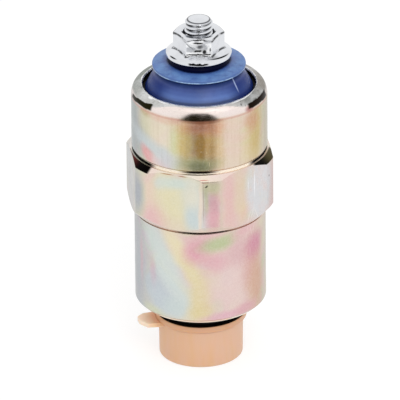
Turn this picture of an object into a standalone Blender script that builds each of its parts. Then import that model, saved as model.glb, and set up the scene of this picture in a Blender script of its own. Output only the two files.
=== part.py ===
"""Fuel shutoff solenoid with its protective cap on.

One turned steel housing (threaded nose, skirt, spanner hexagon and barrel) holds a
coil, a fixed pole piece and a sprung plunger. A blue moulded insulator is held in
the barrel by its rolled rim and carries the terminal stud and nut.

Metres, +Z up. The origin is the centre of the cap's underside, -Y is the front.
"""

from math import atan2, cos, pi, radians, sin, tan

import bmesh
import bpy
from mathutils import Matrix

MM = 0.001

# Clearances
FIT_GAP = 0.30 * MM
RUNNING_GAP = 0.30 * MM

# Threaded nose and the cap pushed over it
NOSE_RADIUS = 6.0 * MM
NOSE_LENGTH = 8.7 * MM
NOSE_CHAMFER = 0.6 * MM
NOSE_UNDERCUT = 0.3 * MM
O_RING_SECTION = 1.7 * MM
CAP_FLOOR = 1.2 * MM
CAP_WALL = 0.95 * MM
CAP_DRAFT = 0.10 * MM
CAP_EDGE = 0.40 * MM
CAP_END_GAP = 0.40 * MM
COLLAR_HEIGHT = 1.9 * MM
COLLAR_LIP = 0.60 * MM
COLLAR_EDGE = 0.25 * MM
TAB_REACH = 3.1 * MM
TAB_ROOT_WIDTH = 4.8 * MM
TAB_TIP_WIDTH = 4.0 * MM
TAB_CORNER = 1.2 * MM
TAB_THICKNESS = 0.8 * MM
TAB_TURN = radians(12.0)

# Outside of the housing
SKIRT_LENGTH = 17.9 * MM
SKIRT_CHAMFER_WIDTH = 0.95 * MM
SKIRT_CHAMFER_HEIGHT = 0.9 * MM
HEX_HEIGHT = 11.1 * MM
HEX_CORNER_TURNING = 0.80 * MM
HEX_LEDGE = 0.28 * MM
HEX_TOP_CHAMFER_ANGLE = radians(40.0)
HEX_BOTTOM_LEDGE = 0.25 * MM
HEX_BOTTOM_CHAMFER_ANGLE = radians(48.0)
HEX_TURN = radians(8.5)
GROOVE_WIDTH = 0.45 * MM
GROOVE_DEPTH = 0.25 * MM
BARREL_LENGTH = 12.2 * MM
RIM_FALL = 0.10 * MM
RIM_ROLL = 1.60 * MM
LIP_THICKNESS = 0.60 * MM
LIP_OVERLAP = 0.75 * MM
LIP_CREST = 0.40 * MM
LIP_EDGE = 0.25 * MM

# Inside of the housing
SKIRT_WALL = 1.75 * MM
PLATE_LEDGE = 0.90 * MM
CRIMP_WALL = 1.22 * MM
FLOOR_THICKNESS = 2.6 * MM

# Plunger, its seat and its spring
STEM_RADIUS = 3.1 * MM
STEM_RECESS = 0.8 * MM
PLUNGER_RADIUS = 4.25 * MM
PLUNGER_HEAD_LENGTH = 17.0 * MM
PLUNGER_EDGE = 0.3 * MM
PLUNGER_STROKE = 1.2 * MM
SLOT_WIDTH = 1.2 * MM
SLOT_DEPTH = 0.7 * MM
SEAT_RADIUS = 2.7 * MM
SEAT_STALK_RADIUS = 1.2 * MM
SEAT_STALK_LENGTH = 2.0 * MM
SPRING_RADIUS = 2.5 * MM
SPRING_WIRE = 0.6 * MM
SPRING_BORE_DEPTH = 9.0 * MM
SPRING_ACTIVE_TURNS = 4.5

# Magnet parts
SLEEVE_WALL = 0.40 * MM
BOBBIN_WALL = 0.75 * MM
BOBBIN_FLANGE = 1.1 * MM
WINDING_DEPTH = 2.4 * MM
TAPE_THICKNESS = 0.30 * MM
WAVE_SHEET = 0.40 * MM
WAVE_HEIGHT = 1.0 * MM
WAVE_COUNT = 3
PLATE_THICKNESS = 2.4 * MM
POLE_SPIGOT_RADIUS = 3.0 * MM
DISC_THICKNESS = 0.8 * MM
LEAD_RADIUS = 0.35 * MM
LEAD_SLEEVE_WALL = 0.25 * MM

# Insulator
INSULATOR_FLANGE = 2.9 * MM
RIM_SEAL_SECTION = 1.2 * MM
CONE_TOP_RADIUS = 7.35 * MM
CONE_HEIGHT = 3.7 * MM
WAIST_HEIGHT = 0.3 * MM
SHED_RADIUS = 8.05 * MM
SHED_EDGE = 0.55 * MM
SHED_EDGE_CHAMFER = 0.15 * MM
SHED_SLOPE_HEIGHT = 0.6 * MM
BOSS_FOOT_RADIUS = 5.2 * MM
BOSS_RADIUS = 4.7 * MM
BOSS_HEIGHT = 0.75 * MM

# Terminal stud, its contact tag and nut
STUD_RADIUS = 2.45 * MM
STUD_SHOWING = 2.1 * MM
STUD_TIP_CHAMFER = 0.52 * MM
STUD_HEAD_ACROSS_FLATS = 7.0 * MM
STUD_HEAD_HEIGHT = 1.4 * MM
STUD_PIP_RADIUS = 0.9 * MM
STUD_SEAL_SECTION = 0.7 * MM
TAG_THICKNESS = 0.4 * MM
TAG_RADIUS = 3.4 * MM
TAG_WIDTH = 2.4 * MM
TAG_PAST_LEAD = 1.1 * MM
NUT_ACROSS_FLATS = 7.8 * MM
NUT_CORNER_TURNING = 0.08 * MM
NUT_TOP_RADIUS = 3.7 * MM
NUT_CHAMFER_ANGLE = radians(30.0)
NUT_HEIGHT = 4.4 * MM
NUT_FLANGE_RADIUS = 5.65 * MM
NUT_FLANGE_RIM = 0.5 * MM
NUT_FLANGE_RISE = 0.85 * MM
NUT_BORE_CHAMFER = 0.3 * MM

# Roundness of the faceted pieces
HOUSING_STEPS = 60
OUTER_STEPS = 48
INNER_STEPS = 28
WIRE_STEPS = 12
RING_SECTION_STEPS = 8
SPRING_TURN_STEPS = 14
HEX_SIDES = 6

# Heights, worked out upwards from the cap's underside
NOSE_END = CAP_FLOOR + CAP_END_GAP
SEAL_FACE = NOSE_END + NOSE_LENGTH
O_RING_FOOT = SEAL_FACE - FIT_GAP - O_RING_SECTION
CAP_MOUTH = O_RING_FOOT - FIT_GAP
CHAMBER_FLOOR = SEAL_FACE + FLOOR_THICKNESS
HEX_BOTTOM = SEAL_FACE + SKIRT_LENGTH
HEX_TOP = HEX_BOTTOM + HEX_HEIGHT
RIM_TOP = HEX_TOP + BARREL_LENGTH
LIP_UNDERSIDE = RIM_TOP - LIP_THICKNESS

# Heights, worked out downwards from the rolled rim through the stack it clamps
FLANGE_TOP = LIP_UNDERSIDE - FIT_GAP
FLANGE_BOTTOM = FLANGE_TOP - INSULATOR_FLANGE
DISC_TOP = FLANGE_BOTTOM - FIT_GAP
DISC_BOTTOM = DISC_TOP - DISC_THICKNESS
PLATE_TOP = DISC_BOTTOM - FIT_GAP
PLATE_BOTTOM = PLATE_TOP - PLATE_THICKNESS
PLATE_STEP = PLATE_BOTTOM - FIT_GAP

# Heights of the coil and the plunger between the floor and the plate
WAVE_BOTTOM = CHAMBER_FLOOR + FIT_GAP
BOBBIN_BOTTOM = WAVE_BOTTOM + WAVE_HEIGHT + FIT_GAP
BOBBIN_TOP = PLATE_BOTTOM - FIT_GAP
WINDING_BOTTOM = BOBBIN_BOTTOM + BOBBIN_FLANGE + FIT_GAP
WINDING_TOP = BOBBIN_TOP - BOBBIN_FLANGE - FIT_GAP
HEAD_BOTTOM = CHAMBER_FLOOR + FIT_GAP
HEAD_TOP = HEAD_BOTTOM + PLUNGER_HEAD_LENGTH
POLE_FACE = HEAD_TOP + PLUNGER_STROKE + RUNNING_GAP
SEAT_BOTTOM = CAP_FLOOR + RUNNING_GAP
STEM_BOTTOM = SEAT_BOTTOM + STEM_RECESS

# Heights of the insulator's outside and of the terminal
CONE_TOP = FLANGE_TOP + CONE_HEIGHT
SHED_BOTTOM = CONE_TOP + WAIST_HEIGHT
SHED_SHOULDER = SHED_BOTTOM + SHED_EDGE
BOSS_FOOT = SHED_SHOULDER + SHED_SLOPE_HEIGHT
BOSS_TOP = BOSS_FOOT + BOSS_HEIGHT
NUT_SEAT = BOSS_TOP + FIT_GAP
NUT_TOP = NUT_SEAT + NUT_HEIGHT
STUD_TOP = NUT_TOP + STUD_SHOWING
TAG_BOTTOM = DISC_TOP + FIT_GAP
TAG_TOP = TAG_BOTTOM + TAG_THICKNESS
HEAD_SEAT = TAG_TOP + FIT_GAP
STUD_HEAD_TOP = HEAD_SEAT + STUD_HEAD_HEIGHT
POCKET_TOP = STUD_HEAD_TOP + FIT_GAP
STUD_SEAL_TOP = STUD_HEAD_TOP + FIT_GAP + STUD_SEAL_SECTION

# Radii that follow from the sizes above
UNDERCUT_RADIUS = NOSE_RADIUS - NOSE_UNDERCUT
CAP_BORE = NOSE_RADIUS + FIT_GAP
CAP_RADIUS = CAP_BORE + CAP_WALL
COLLAR_RADIUS = CAP_RADIUS + CAP_DRAFT + COLLAR_LIP
STEM_BORE = STEM_RADIUS + RUNNING_GAP
SPRING_BORE = SPRING_RADIUS + 1.3 * RUNNING_GAP
SLEEVE_BORE = PLUNGER_RADIUS + RUNNING_GAP
SLEEVE_RADIUS = SLEEVE_BORE + SLEEVE_WALL
BOBBIN_BORE = SLEEVE_RADIUS + FIT_GAP
BOBBIN_TUBE_RADIUS = BOBBIN_BORE + BOBBIN_WALL
WINDING_BORE = BOBBIN_TUBE_RADIUS + FIT_GAP
WINDING_RADIUS = WINDING_BORE + WINDING_DEPTH
COIL_RADIUS = WINDING_RADIUS + FIT_GAP + TAPE_THICKNESS
CHAMBER_RADIUS = COIL_RADIUS + FIT_GAP
CRIMP_RADIUS = CHAMBER_RADIUS + PLATE_LEDGE
LIP_RADIUS = CRIMP_RADIUS - LIP_OVERLAP
STACK_RADIUS = CRIMP_RADIUS - FIT_GAP
LEAD_OFFSET = WINDING_BORE + LEAD_RADIUS
LEAD_HOLE = LEAD_RADIUS + FIT_GAP
LEAD_SLEEVE_RADIUS = LEAD_HOLE + LEAD_SLEEVE_WALL
PLATE_LEAD_HOLE = LEAD_SLEEVE_RADIUS + FIT_GAP
CONE_FOOT_RADIUS = LIP_RADIUS - 1.5 * FIT_GAP
REBATE_RADIUS = STACK_RADIUS - RIM_SEAL_SECTION - FIT_GAP
STUD_BORE = STUD_RADIUS + FIT_GAP
STUD_HEAD_RADIUS = STUD_HEAD_ACROSS_FLATS / 2 / cos(pi / HEX_SIDES)
POCKET_RADIUS = STUD_HEAD_RADIUS + FIT_GAP / cos(pi / HEX_SIDES)
NUT_CORNER_RADIUS = NUT_ACROSS_FLATS / 2 / cos(pi / HEX_SIDES) - NUT_CORNER_TURNING

# Outside of the housing, built up from the coil that it holds. The flats come to 24 mm, a usual spanner size.
SKIRT_RADIUS = CHAMBER_RADIUS + SKIRT_WALL
BARREL_RADIUS = CRIMP_RADIUS + CRIMP_WALL
HEX_ACROSS_FLATS = 2 * (BARREL_RADIUS + HEX_LEDGE)
HEX_TOP_FACE_RADIUS = HEX_ACROSS_FLATS / 2
HEX_BOTTOM_FACE_RADIUS = SKIRT_RADIUS + HEX_BOTTOM_LEDGE
HEX_CORNER_RADIUS = HEX_ACROSS_FLATS / 2 / cos(pi / HEX_SIDES) - HEX_CORNER_TURNING

# How far a cutter runs past the face it cuts, and the angle over which an edge stays sharp
CUT_PAST = 1.0 * MM
SHARP_ANGLE = radians(32.0)
MERGE_DISTANCE = 0.001 * MM

# Colour, roughness and metallic value of each finish
FINISHES = {
    "zinc_yellow": ((0.78, 0.74, 0.56), 0.30, 1.0),
    "zinc_bright": ((0.80, 0.81, 0.83), 0.25, 1.0),
    "steel": ((0.55, 0.56, 0.58), 0.35, 1.0),
    "spring_steel": ((0.40, 0.41, 0.43), 0.30, 1.0),
    "brass": ((0.78, 0.60, 0.28), 0.30, 1.0),
    "copper": ((0.72, 0.36, 0.20), 0.32, 1.0),
    "blue_moulding": ((0.10, 0.19, 0.52), 0.35, 0.0),
    "peach_plastic": ((0.78, 0.50, 0.30), 0.45, 0.0),
    "black_rubber": ((0.02, 0.02, 0.02), 0.60, 0.0),
    "white_nylon": ((0.80, 0.79, 0.74), 0.50, 0.0),
    "brown_fibre": ((0.36, 0.22, 0.12), 0.75, 0.0),
    "yellow_tape": ((0.75, 0.55, 0.12), 0.40, 0.0),
}


def clear_scene():
    """Remove whatever the file opened with."""
    for item in list(bpy.data.objects):
        bpy.data.objects.remove(item, do_unlink=True)


def finish(name):
    """Return the Principled material of a named finish, made once."""
    if name in bpy.data.materials:
        return bpy.data.materials[name]
    colour, roughness, metallic = FINISHES[name]
    material = bpy.data.materials.new(name)
    material.use_nodes = True
    shader = material.node_tree.nodes["Principled BSDF"]
    shader.inputs["Base Color"].default_value = (*colour, 1.0)
    shader.inputs["Roughness"].default_value = roughness
    shader.inputs["Metallic"].default_value = metallic
    return material


def add_piece(name, shape, material, location=(0.0, 0.0, 0.0), turn=0.0):
    """Put a bmesh into the scene as a smooth-shaded object turned about +Z."""
    mesh = bpy.data.meshes.new(name)
    bmesh.ops.recalc_face_normals(shape, faces=shape.faces)
    shape.to_mesh(mesh)
    shape.free()
    piece = bpy.data.objects.new(name, mesh)
    bpy.context.scene.collection.objects.link(piece)
    piece.location = location
    piece.rotation_euler.z = turn
    mesh.shade_smooth()
    mesh.set_sharp_from_angle(angle=SHARP_ANGLE)
    if material:
        mesh.materials.append(finish(material))
    return piece


def spin_outline(outline, steps):
    """Spin (radius, height) points about Z; an outline off the axis is closed to a ring."""
    shape = bmesh.new()
    points = [shape.verts.new((radius, 0.0, height)) for radius, height in outline]
    edges = [shape.edges.new(pair) for pair in zip(points, points[1:])]
    if min(radius for radius, height in outline) > 0.0:
        edges.append(shape.edges.new((points[-1], points[0])))
    bmesh.ops.spin(
        shape, geom=points + edges, cent=(0.0, 0.0, 0.0), axis=(0.0, 0.0, 1.0), angle=2 * pi, steps=steps
    )
    bmesh.ops.remove_doubles(shape, verts=shape.verts, dist=MERGE_DISTANCE)
    return shape


def lathe(name, outline, material=None, steps=INNER_STEPS, place=(0.0, 0.0), turn=0.0):
    """Make a turned piece whose origin is on its own axis, level with its lowest point."""
    seat = min(height for radius, height in outline)
    local = [(radius, height - seat) for radius, height in outline]
    return add_piece(name, spin_outline(local, steps), material, (*place, seat), turn)


def tube_outline(inner, outer, bottom, top):
    """Outline of a plain tube or washer."""
    return [(inner, bottom), (outer, bottom), (outer, top), (inner, top)]


def rod_outline(radius, bottom, top):
    """Outline of a plain round or many-sided bar."""
    return [(0.0, bottom), (radius, bottom), (radius, top), (0.0, top)]


def ring_outline(inner, section, bottom):
    """Outline of an O-ring from its inner radius, its section and its lowest height."""
    middle = inner + section / 2
    height = bottom + section / 2
    angles = [2 * pi * step / RING_SECTION_STEPS for step in range(RING_SECTION_STEPS)]
    return [(middle + section / 2 * cos(angle), height + section / 2 * sin(angle)) for angle in angles]


def arc(centre_radius, centre_height, radius, start, end, steps):
    """Points of an arc in the outline's plane, angles in degrees from +radius."""
    angles = [radians(start + (end - start) * step / steps) for step in range(steps + 1)]
    return [(centre_radius + radius * cos(angle), centre_height + radius * sin(angle)) for angle in angles]


def combine(piece, other, operation):
    """Add a live Boolean of another object and keep that object out of the build."""
    other.hide_render = True
    other.display_type = "WIRE"
    boolean = piece.modifiers.new(f"{operation.lower()} {other.name}", "BOOLEAN")
    boolean.operation = operation
    boolean.solver = "EXACT"
    boolean.object = other
    return piece


def lead_hole_cutter(name, radius, offset, bottom, top):
    """Upright round cutter for a coil lead, clear through a flat piece."""
    outline = rod_outline(radius, bottom - CUT_PAST, top + CUT_PAST)
    return lathe(name, outline, steps=WIRE_STEPS, place=(offset, 0.0))


def hexagon_ring_cutter(name, across_flats, bottom, top, turn):
    """Cutter that leaves a hexagon: a six-sided hole in a wide block."""
    inner = across_flats / 2 / cos(pi / HEX_SIDES)
    outline = tube_outline(inner, 2 * inner, bottom, top)
    return lathe(name, outline, steps=HEX_SIDES, turn=turn)


def block_cutter(name, size, centre):
    """Box cutter from its size and centre."""
    shape = bmesh.new()
    bmesh.ops.create_cube(shape, size=1.0, matrix=Matrix.Diagonal((*size, 1.0)))
    return add_piece(name, shape, None, centre)


def rolled_rim_outline():
    """Outside of the rolled rim, from the lip's inner edge over the crest to the barrel."""
    shoulder = arc(BARREL_RADIUS - RIM_ROLL, RIM_TOP - RIM_FALL - RIM_ROLL, RIM_ROLL, 62.0, 0.0, 5)
    return [
        (LIP_RADIUS, RIM_TOP - LIP_EDGE),
        (LIP_RADIUS + LIP_CREST / 3, RIM_TOP - LIP_EDGE / 4),
        (LIP_RADIUS + LIP_CREST, RIM_TOP),
        *shoulder,
    ]


def hexagon_outline():
    """Outside of the hexagon's turned blank with its grooves and two chamfers."""
    barrel_foot = HEX_TOP + GROOVE_WIDTH
    top_fall = (HEX_CORNER_RADIUS - HEX_TOP_FACE_RADIUS) * tan(HEX_TOP_CHAMFER_ANGLE)
    bottom_rise = (HEX_CORNER_RADIUS - HEX_BOTTOM_FACE_RADIUS) * tan(HEX_BOTTOM_CHAMFER_ANGLE)
    return [
        (BARREL_RADIUS, barrel_foot + GROOVE_DEPTH),
        (BARREL_RADIUS - GROOVE_DEPTH, barrel_foot),
        (BARREL_RADIUS - GROOVE_DEPTH, HEX_TOP),
        (HEX_TOP_FACE_RADIUS, HEX_TOP),
        (HEX_CORNER_RADIUS, HEX_TOP - top_fall),
        (HEX_CORNER_RADIUS, HEX_BOTTOM + bottom_rise),
        (HEX_BOTTOM_FACE_RADIUS, HEX_BOTTOM),
        (SKIRT_RADIUS - GROOVE_DEPTH, HEX_BOTTOM),
        (SKIRT_RADIUS - GROOVE_DEPTH, HEX_BOTTOM - GROOVE_WIDTH),
        (SKIRT_RADIUS, HEX_BOTTOM - GROOVE_WIDTH),
    ]


def nose_outline():
    """Outside of the skirt's foot and of the nose, down to its open end."""
    return [
        (SKIRT_RADIUS, SEAL_FACE + SKIRT_CHAMFER_HEIGHT),
        (SKIRT_RADIUS - SKIRT_CHAMFER_WIDTH / 3, SEAL_FACE + SKIRT_CHAMFER_HEIGHT / 3),
        (SKIRT_RADIUS - SKIRT_CHAMFER_WIDTH, SEAL_FACE),
        (UNDERCUT_RADIUS, SEAL_FACE),
        (UNDERCUT_RADIUS, CAP_MOUTH),
        (NOSE_RADIUS, CAP_MOUTH - NOSE_UNDERCUT),
        (NOSE_RADIUS, NOSE_END + NOSE_CHAMFER),
        (NOSE_RADIUS - NOSE_CHAMFER, NOSE_END),
    ]


def bore_outline():
    """Inside of the housing, from the nose's open end up to the lip's underside."""
    return [
        (STEM_BORE + NOSE_UNDERCUT, NOSE_END),
        (STEM_BORE, NOSE_END + NOSE_UNDERCUT),
        (STEM_BORE, CHAMBER_FLOOR),
        (CHAMBER_RADIUS, CHAMBER_FLOOR),
        (CHAMBER_RADIUS, PLATE_STEP),
        (CRIMP_RADIUS, PLATE_STEP),
        (CRIMP_RADIUS, LIP_UNDERSIDE),
        (LIP_RADIUS, LIP_UNDERSIDE),
    ]


def make_housing():
    """The steel housing, turned in one piece and then milled to a hexagon."""
    outline = rolled_rim_outline() + hexagon_outline() + nose_outline() + bore_outline()
    housing = lathe("housing", outline, "zinc_yellow", HOUSING_STEPS)
    turn = HEX_TURN - pi / 2
    half_groove = GROOVE_WIDTH / 2
    flats = hexagon_ring_cutter(
        "hexagon_cutter", HEX_ACROSS_FLATS, HEX_BOTTOM - half_groove, HEX_TOP + half_groove, turn
    )
    return combine(housing, flats, "DIFFERENCE")


def make_nose_seal():
    """O-ring round the root of the nose, against the housing's sealing face."""
    outline = ring_outline(UNDERCUT_RADIUS + FIT_GAP, O_RING_SECTION, O_RING_FOOT)
    return lathe("nose_o_ring", outline, "black_rubber", OUTER_STEPS)


def make_cap_tab():
    """Flat pull tab with clipped corners, rooted in the cap's wall below the collar."""
    root = (CAP_BORE + CAP_RADIUS) / 2
    tip = COLLAR_RADIUS + TAB_REACH
    corners = [
        (root, TAB_ROOT_WIDTH / 2),
        (tip - TAB_CORNER, TAB_TIP_WIDTH / 2),
        (tip, TAB_TIP_WIDTH / 2 - TAB_CORNER),
    ]
    shape = bmesh.new()
    outline = corners + [(reach, -side) for reach, side in reversed(corners)]
    face = shape.faces.new([shape.verts.new((reach, side, 0.0)) for reach, side in outline])
    lifted = bmesh.ops.extrude_face_region(shape, geom=[face])["geom"]
    top = [item for item in lifted if isinstance(item, bmesh.types.BMVert)]
    bmesh.ops.translate(shape, verts=top, vec=(0.0, 0.0, TAB_THICKNESS))
    height = CAP_MOUTH - COLLAR_HEIGHT + COLLAR_EDGE / 2
    return add_piece("tab_shape", shape, None, (0.0, 0.0, height), pi + TAB_TURN)


def make_cap():
    """Push-on plastic cap: a closed cup with a collar and a pull tab."""
    collar_foot = CAP_MOUTH - COLLAR_HEIGHT
    outline = [
        (0.0, 0.0),
        *arc(CAP_RADIUS - CAP_EDGE, CAP_EDGE, CAP_EDGE, -90.0, 0.0, 3),
        (CAP_RADIUS + CAP_DRAFT, collar_foot - COLLAR_EDGE),
        (COLLAR_RADIUS, collar_foot + COLLAR_EDGE),
        (COLLAR_RADIUS, CAP_MOUTH - COLLAR_EDGE),
        (COLLAR_RADIUS - COLLAR_EDGE, CAP_MOUTH),
        (CAP_BORE + COLLAR_EDGE, CAP_MOUTH),
        (CAP_BORE, CAP_MOUTH - COLLAR_EDGE),
        (CAP_BORE, CAP_FLOOR),
        (0.0, CAP_FLOOR),
    ]
    cap = lathe("nose_cap", outline, "peach_plastic", OUTER_STEPS)
    return combine(cap, make_cap_tab(), "UNION")


def make_plunger():
    """Stepped plunger with two flow slots, a spring bore and a bore for its seat."""
    stalk_bore = SEAT_STALK_RADIUS + FIT_GAP
    spring_floor = HEAD_TOP - SPRING_BORE_DEPTH
    outline = [
        (0.0, spring_floor),
        (SPRING_BORE, spring_floor),
        (SPRING_BORE, HEAD_TOP),
        (PLUNGER_RADIUS - PLUNGER_EDGE, HEAD_TOP),
        (PLUNGER_RADIUS, HEAD_TOP - PLUNGER_EDGE),
        (PLUNGER_RADIUS, HEAD_BOTTOM),
        (STEM_RADIUS, HEAD_BOTTOM),
        (STEM_RADIUS, STEM_BOTTOM + PLUNGER_EDGE),
        (STEM_RADIUS - PLUNGER_EDGE, STEM_BOTTOM),
        (stalk_bore, STEM_BOTTOM),
        (stalk_bore, STEM_BOTTOM + SEAT_STALK_LENGTH + FIT_GAP),
        (0.0, STEM_BOTTOM + SEAT_STALK_LENGTH + FIT_GAP),
    ]
    plunger = lathe("plunger", outline, "steel")
    middle = (HEAD_BOTTOM + HEAD_TOP) / 2
    size = (2 * CUT_PAST + 2 * SLOT_DEPTH, SLOT_WIDTH, PLUNGER_HEAD_LENGTH - 2 * PLUNGER_EDGE)
    for side, name in ((1, "slot_right"), (-1, "slot_left")):
        centre = (side * (PLUNGER_RADIUS + CUT_PAST), 0.0, middle)
        combine(plunger, block_cutter(name, size, centre), "DIFFERENCE")
    return plunger


def make_plunger_seat():
    """Rubber valve seat, a disc on a stalk that is pushed into the plunger's stem."""
    disc_top = STEM_BOTTOM - FIT_GAP
    outline = [
        (0.0, SEAT_BOTTOM),
        (SEAT_RADIUS, SEAT_BOTTOM),
        (SEAT_RADIUS, disc_top),
        (SEAT_STALK_RADIUS, disc_top),
        (SEAT_STALK_RADIUS, STEM_BOTTOM + SEAT_STALK_LENGTH),
        (0.0, STEM_BOTTOM + SEAT_STALK_LENGTH),
    ]
    return lathe("plunger_seat", outline, "black_rubber", INNER_STEPS)


def spring_points():
    """Centre line of a compression spring with one closed coil at each end."""
    mean_radius = SPRING_RADIUS - SPRING_WIRE / 2
    bottom = HEAD_TOP - SPRING_BORE_DEPTH + FIT_GAP + SPRING_WIRE / 2
    top = POLE_FACE - FIT_GAP - SPRING_WIRE / 2
    closed_pitch = 1.25 * SPRING_WIRE
    open_pitch = (top - bottom - 2 * closed_pitch) / SPRING_ACTIVE_TURNS
    turns = SPRING_ACTIVE_TURNS + 2
    count = round(turns * SPRING_TURN_STEPS)
    points = []
    for step in range(count + 1):
        turn = turns * step / count
        open_turns = min(max(turn - 1, 0.0), SPRING_ACTIVE_TURNS)
        height = bottom + closed_pitch * (turn - open_turns) + open_pitch * open_turns
        angle = 2 * pi * turn
        points.append((mean_radius * cos(angle), mean_radius * sin(angle), height))
    return points


def make_return_spring():
    """Spring that pushes the plunger out when the coil has no current."""
    curve = bpy.data.curves.new("return_spring", "CURVE")
    curve.dimensions = "3D"
    curve.bevel_depth = SPRING_WIRE / 2
    curve.bevel_resolution = 1
    curve.use_fill_caps = True
    points = spring_points()
    spline = curve.splines.new("POLY")
    spline.points.add(len(points) - 1)
    for target, point in zip(spline.points, points):
        target.co = (*point, 1.0)
    curve.materials.append(finish("spring_steel"))
    spring = bpy.data.objects.new("return_spring", curve)
    bpy.context.scene.collection.objects.link(spring)
    return spring


def make_guide_sleeve():
    """Thin brass tube that guides the plunger and centres the pole piece."""
    outline = tube_outline(SLEEVE_BORE, SLEEVE_RADIUS, CHAMBER_FLOOR + FIT_GAP, BOBBIN_TOP)
    return lathe("guide_sleeve", outline, "brass")


def make_wave_washer():
    """Wavy spring washer that presses the bobbin up against the plate."""
    middle = WAVE_BOTTOM + WAVE_HEIGHT / 2
    outline = tube_outline(BOBBIN_BORE, COIL_RADIUS, middle - WAVE_SHEET / 2, middle + WAVE_SHEET / 2)
    washer = lathe("wave_washer", outline, "spring_steel", OUTER_STEPS)
    swing = (WAVE_HEIGHT - WAVE_SHEET) / 2
    for vertex in washer.data.vertices:
        vertex.co.z += swing * cos(WAVE_COUNT * atan2(vertex.co.y, vertex.co.x))
    return washer


def make_bobbin():
    """Moulded spool of the coil, with a hole in its top flange for each lead."""
    outline = [
        (BOBBIN_BORE, BOBBIN_BOTTOM),
        (COIL_RADIUS, BOBBIN_BOTTOM),
        (COIL_RADIUS, BOBBIN_BOTTOM + BOBBIN_FLANGE),
        (BOBBIN_TUBE_RADIUS, BOBBIN_BOTTOM + BOBBIN_FLANGE),
        (BOBBIN_TUBE_RADIUS, BOBBIN_TOP - BOBBIN_FLANGE),
        (COIL_RADIUS, BOBBIN_TOP - BOBBIN_FLANGE),
        (COIL_RADIUS, BOBBIN_TOP),
        (BOBBIN_BORE, BOBBIN_TOP),
    ]
    bobbin = lathe("coil_bobbin", outline, "white_nylon")
    for side, name in ((1, "bobbin_hole_live"), (-1, "bobbin_hole_earth")):
        place = side * LEAD_OFFSET
        hole = lead_hole_cutter(name, LEAD_HOLE, place, BOBBIN_TOP - BOBBIN_FLANGE, BOBBIN_TOP)
        combine(bobbin, hole, "DIFFERENCE")
    return bobbin


def make_winding():
    """Copper winding on the bobbin, and the tape that holds its last layer."""
    lathe("coil_winding", tube_outline(WINDING_BORE, WINDING_RADIUS, WINDING_BOTTOM, WINDING_TOP), "copper")
    tape_inner = WINDING_RADIUS + FIT_GAP
    lathe("winding_tape", tube_outline(tape_inner, COIL_RADIUS, WINDING_BOTTOM, WINDING_TOP), "yellow_tape")


def make_top_plate():
    """Steel plate that closes the magnet, on the step in the barrel."""
    inner = POLE_SPIGOT_RADIUS + FIT_GAP
    plate = lathe("top_plate", tube_outline(inner, STACK_RADIUS, PLATE_BOTTOM, PLATE_TOP), "steel")
    for side, radius, name in ((1, PLATE_LEAD_HOLE, "plate_hole_live"), (-1, LEAD_HOLE, "plate_hole_earth")):
        hole = lead_hole_cutter(name, radius, side * LEAD_OFFSET, PLATE_BOTTOM, PLATE_TOP)
        combine(plate, hole, "DIFFERENCE")
    return plate


def make_pole_piece():
    """Fixed core in the top of the sleeve, with a spigot pressed into the plate."""
    outline = [
        (0.0, POLE_FACE),
        (PLUNGER_RADIUS - PLUNGER_EDGE, POLE_FACE),
        (PLUNGER_RADIUS, POLE_FACE + PLUNGER_EDGE),
        (PLUNGER_RADIUS, PLATE_BOTTOM - FIT_GAP),
        (POLE_SPIGOT_RADIUS, PLATE_BOTTOM - FIT_GAP),
        (POLE_SPIGOT_RADIUS, PLATE_TOP),
        (0.0, PLATE_TOP),
    ]
    return lathe("pole_piece", outline, "steel")


def make_leads():
    """Live lead with its sleeve up to the contact tag, and the lead earthed to the plate."""
    foot = WINDING_TOP + FIT_GAP
    live = rod_outline(LEAD_RADIUS, foot, DISC_TOP)
    lathe("live_lead", live, "copper", WIRE_STEPS, (LEAD_OFFSET, 0.0))
    earth = rod_outline(LEAD_RADIUS, foot, PLATE_TOP)
    lathe("earth_lead", earth, "copper", WIRE_STEPS, (-LEAD_OFFSET, 0.0))
    sleeve = tube_outline(LEAD_HOLE, LEAD_SLEEVE_RADIUS, PLATE_BOTTOM, PLATE_TOP)
    lathe("lead_sleeve", sleeve, "black_rubber", WIRE_STEPS, (LEAD_OFFSET, 0.0))


def make_insulating_disc():
    """Fibre disc that keeps the live tag off the plate."""
    disc = lathe("insulating_disc", rod_outline(STACK_RADIUS, DISC_BOTTOM, DISC_TOP), "brown_fibre")
    hole = lead_hole_cutter("disc_hole_live", LEAD_HOLE, LEAD_OFFSET, DISC_BOTTOM, DISC_TOP)
    return combine(disc, hole, "DIFFERENCE")


def make_contact_tag():
    """Brass tag under the stud's head: a ring with an arm out to the live lead."""
    ring = tube_outline(STUD_PIP_RADIUS + FIT_GAP, TAG_RADIUS, TAG_BOTTOM, TAG_TOP)
    tag = lathe("contact_tag", ring, "brass")
    start = (STUD_PIP_RADIUS + FIT_GAP + TAG_RADIUS) / 2
    end = LEAD_OFFSET + TAG_PAST_LEAD
    size = (end - start, TAG_WIDTH, TAG_THICKNESS)
    arm = block_cutter("tag_arm", size, ((start + end) / 2, 0.0, (TAG_BOTTOM + TAG_TOP) / 2))
    return combine(tag, arm, "UNION")


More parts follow.
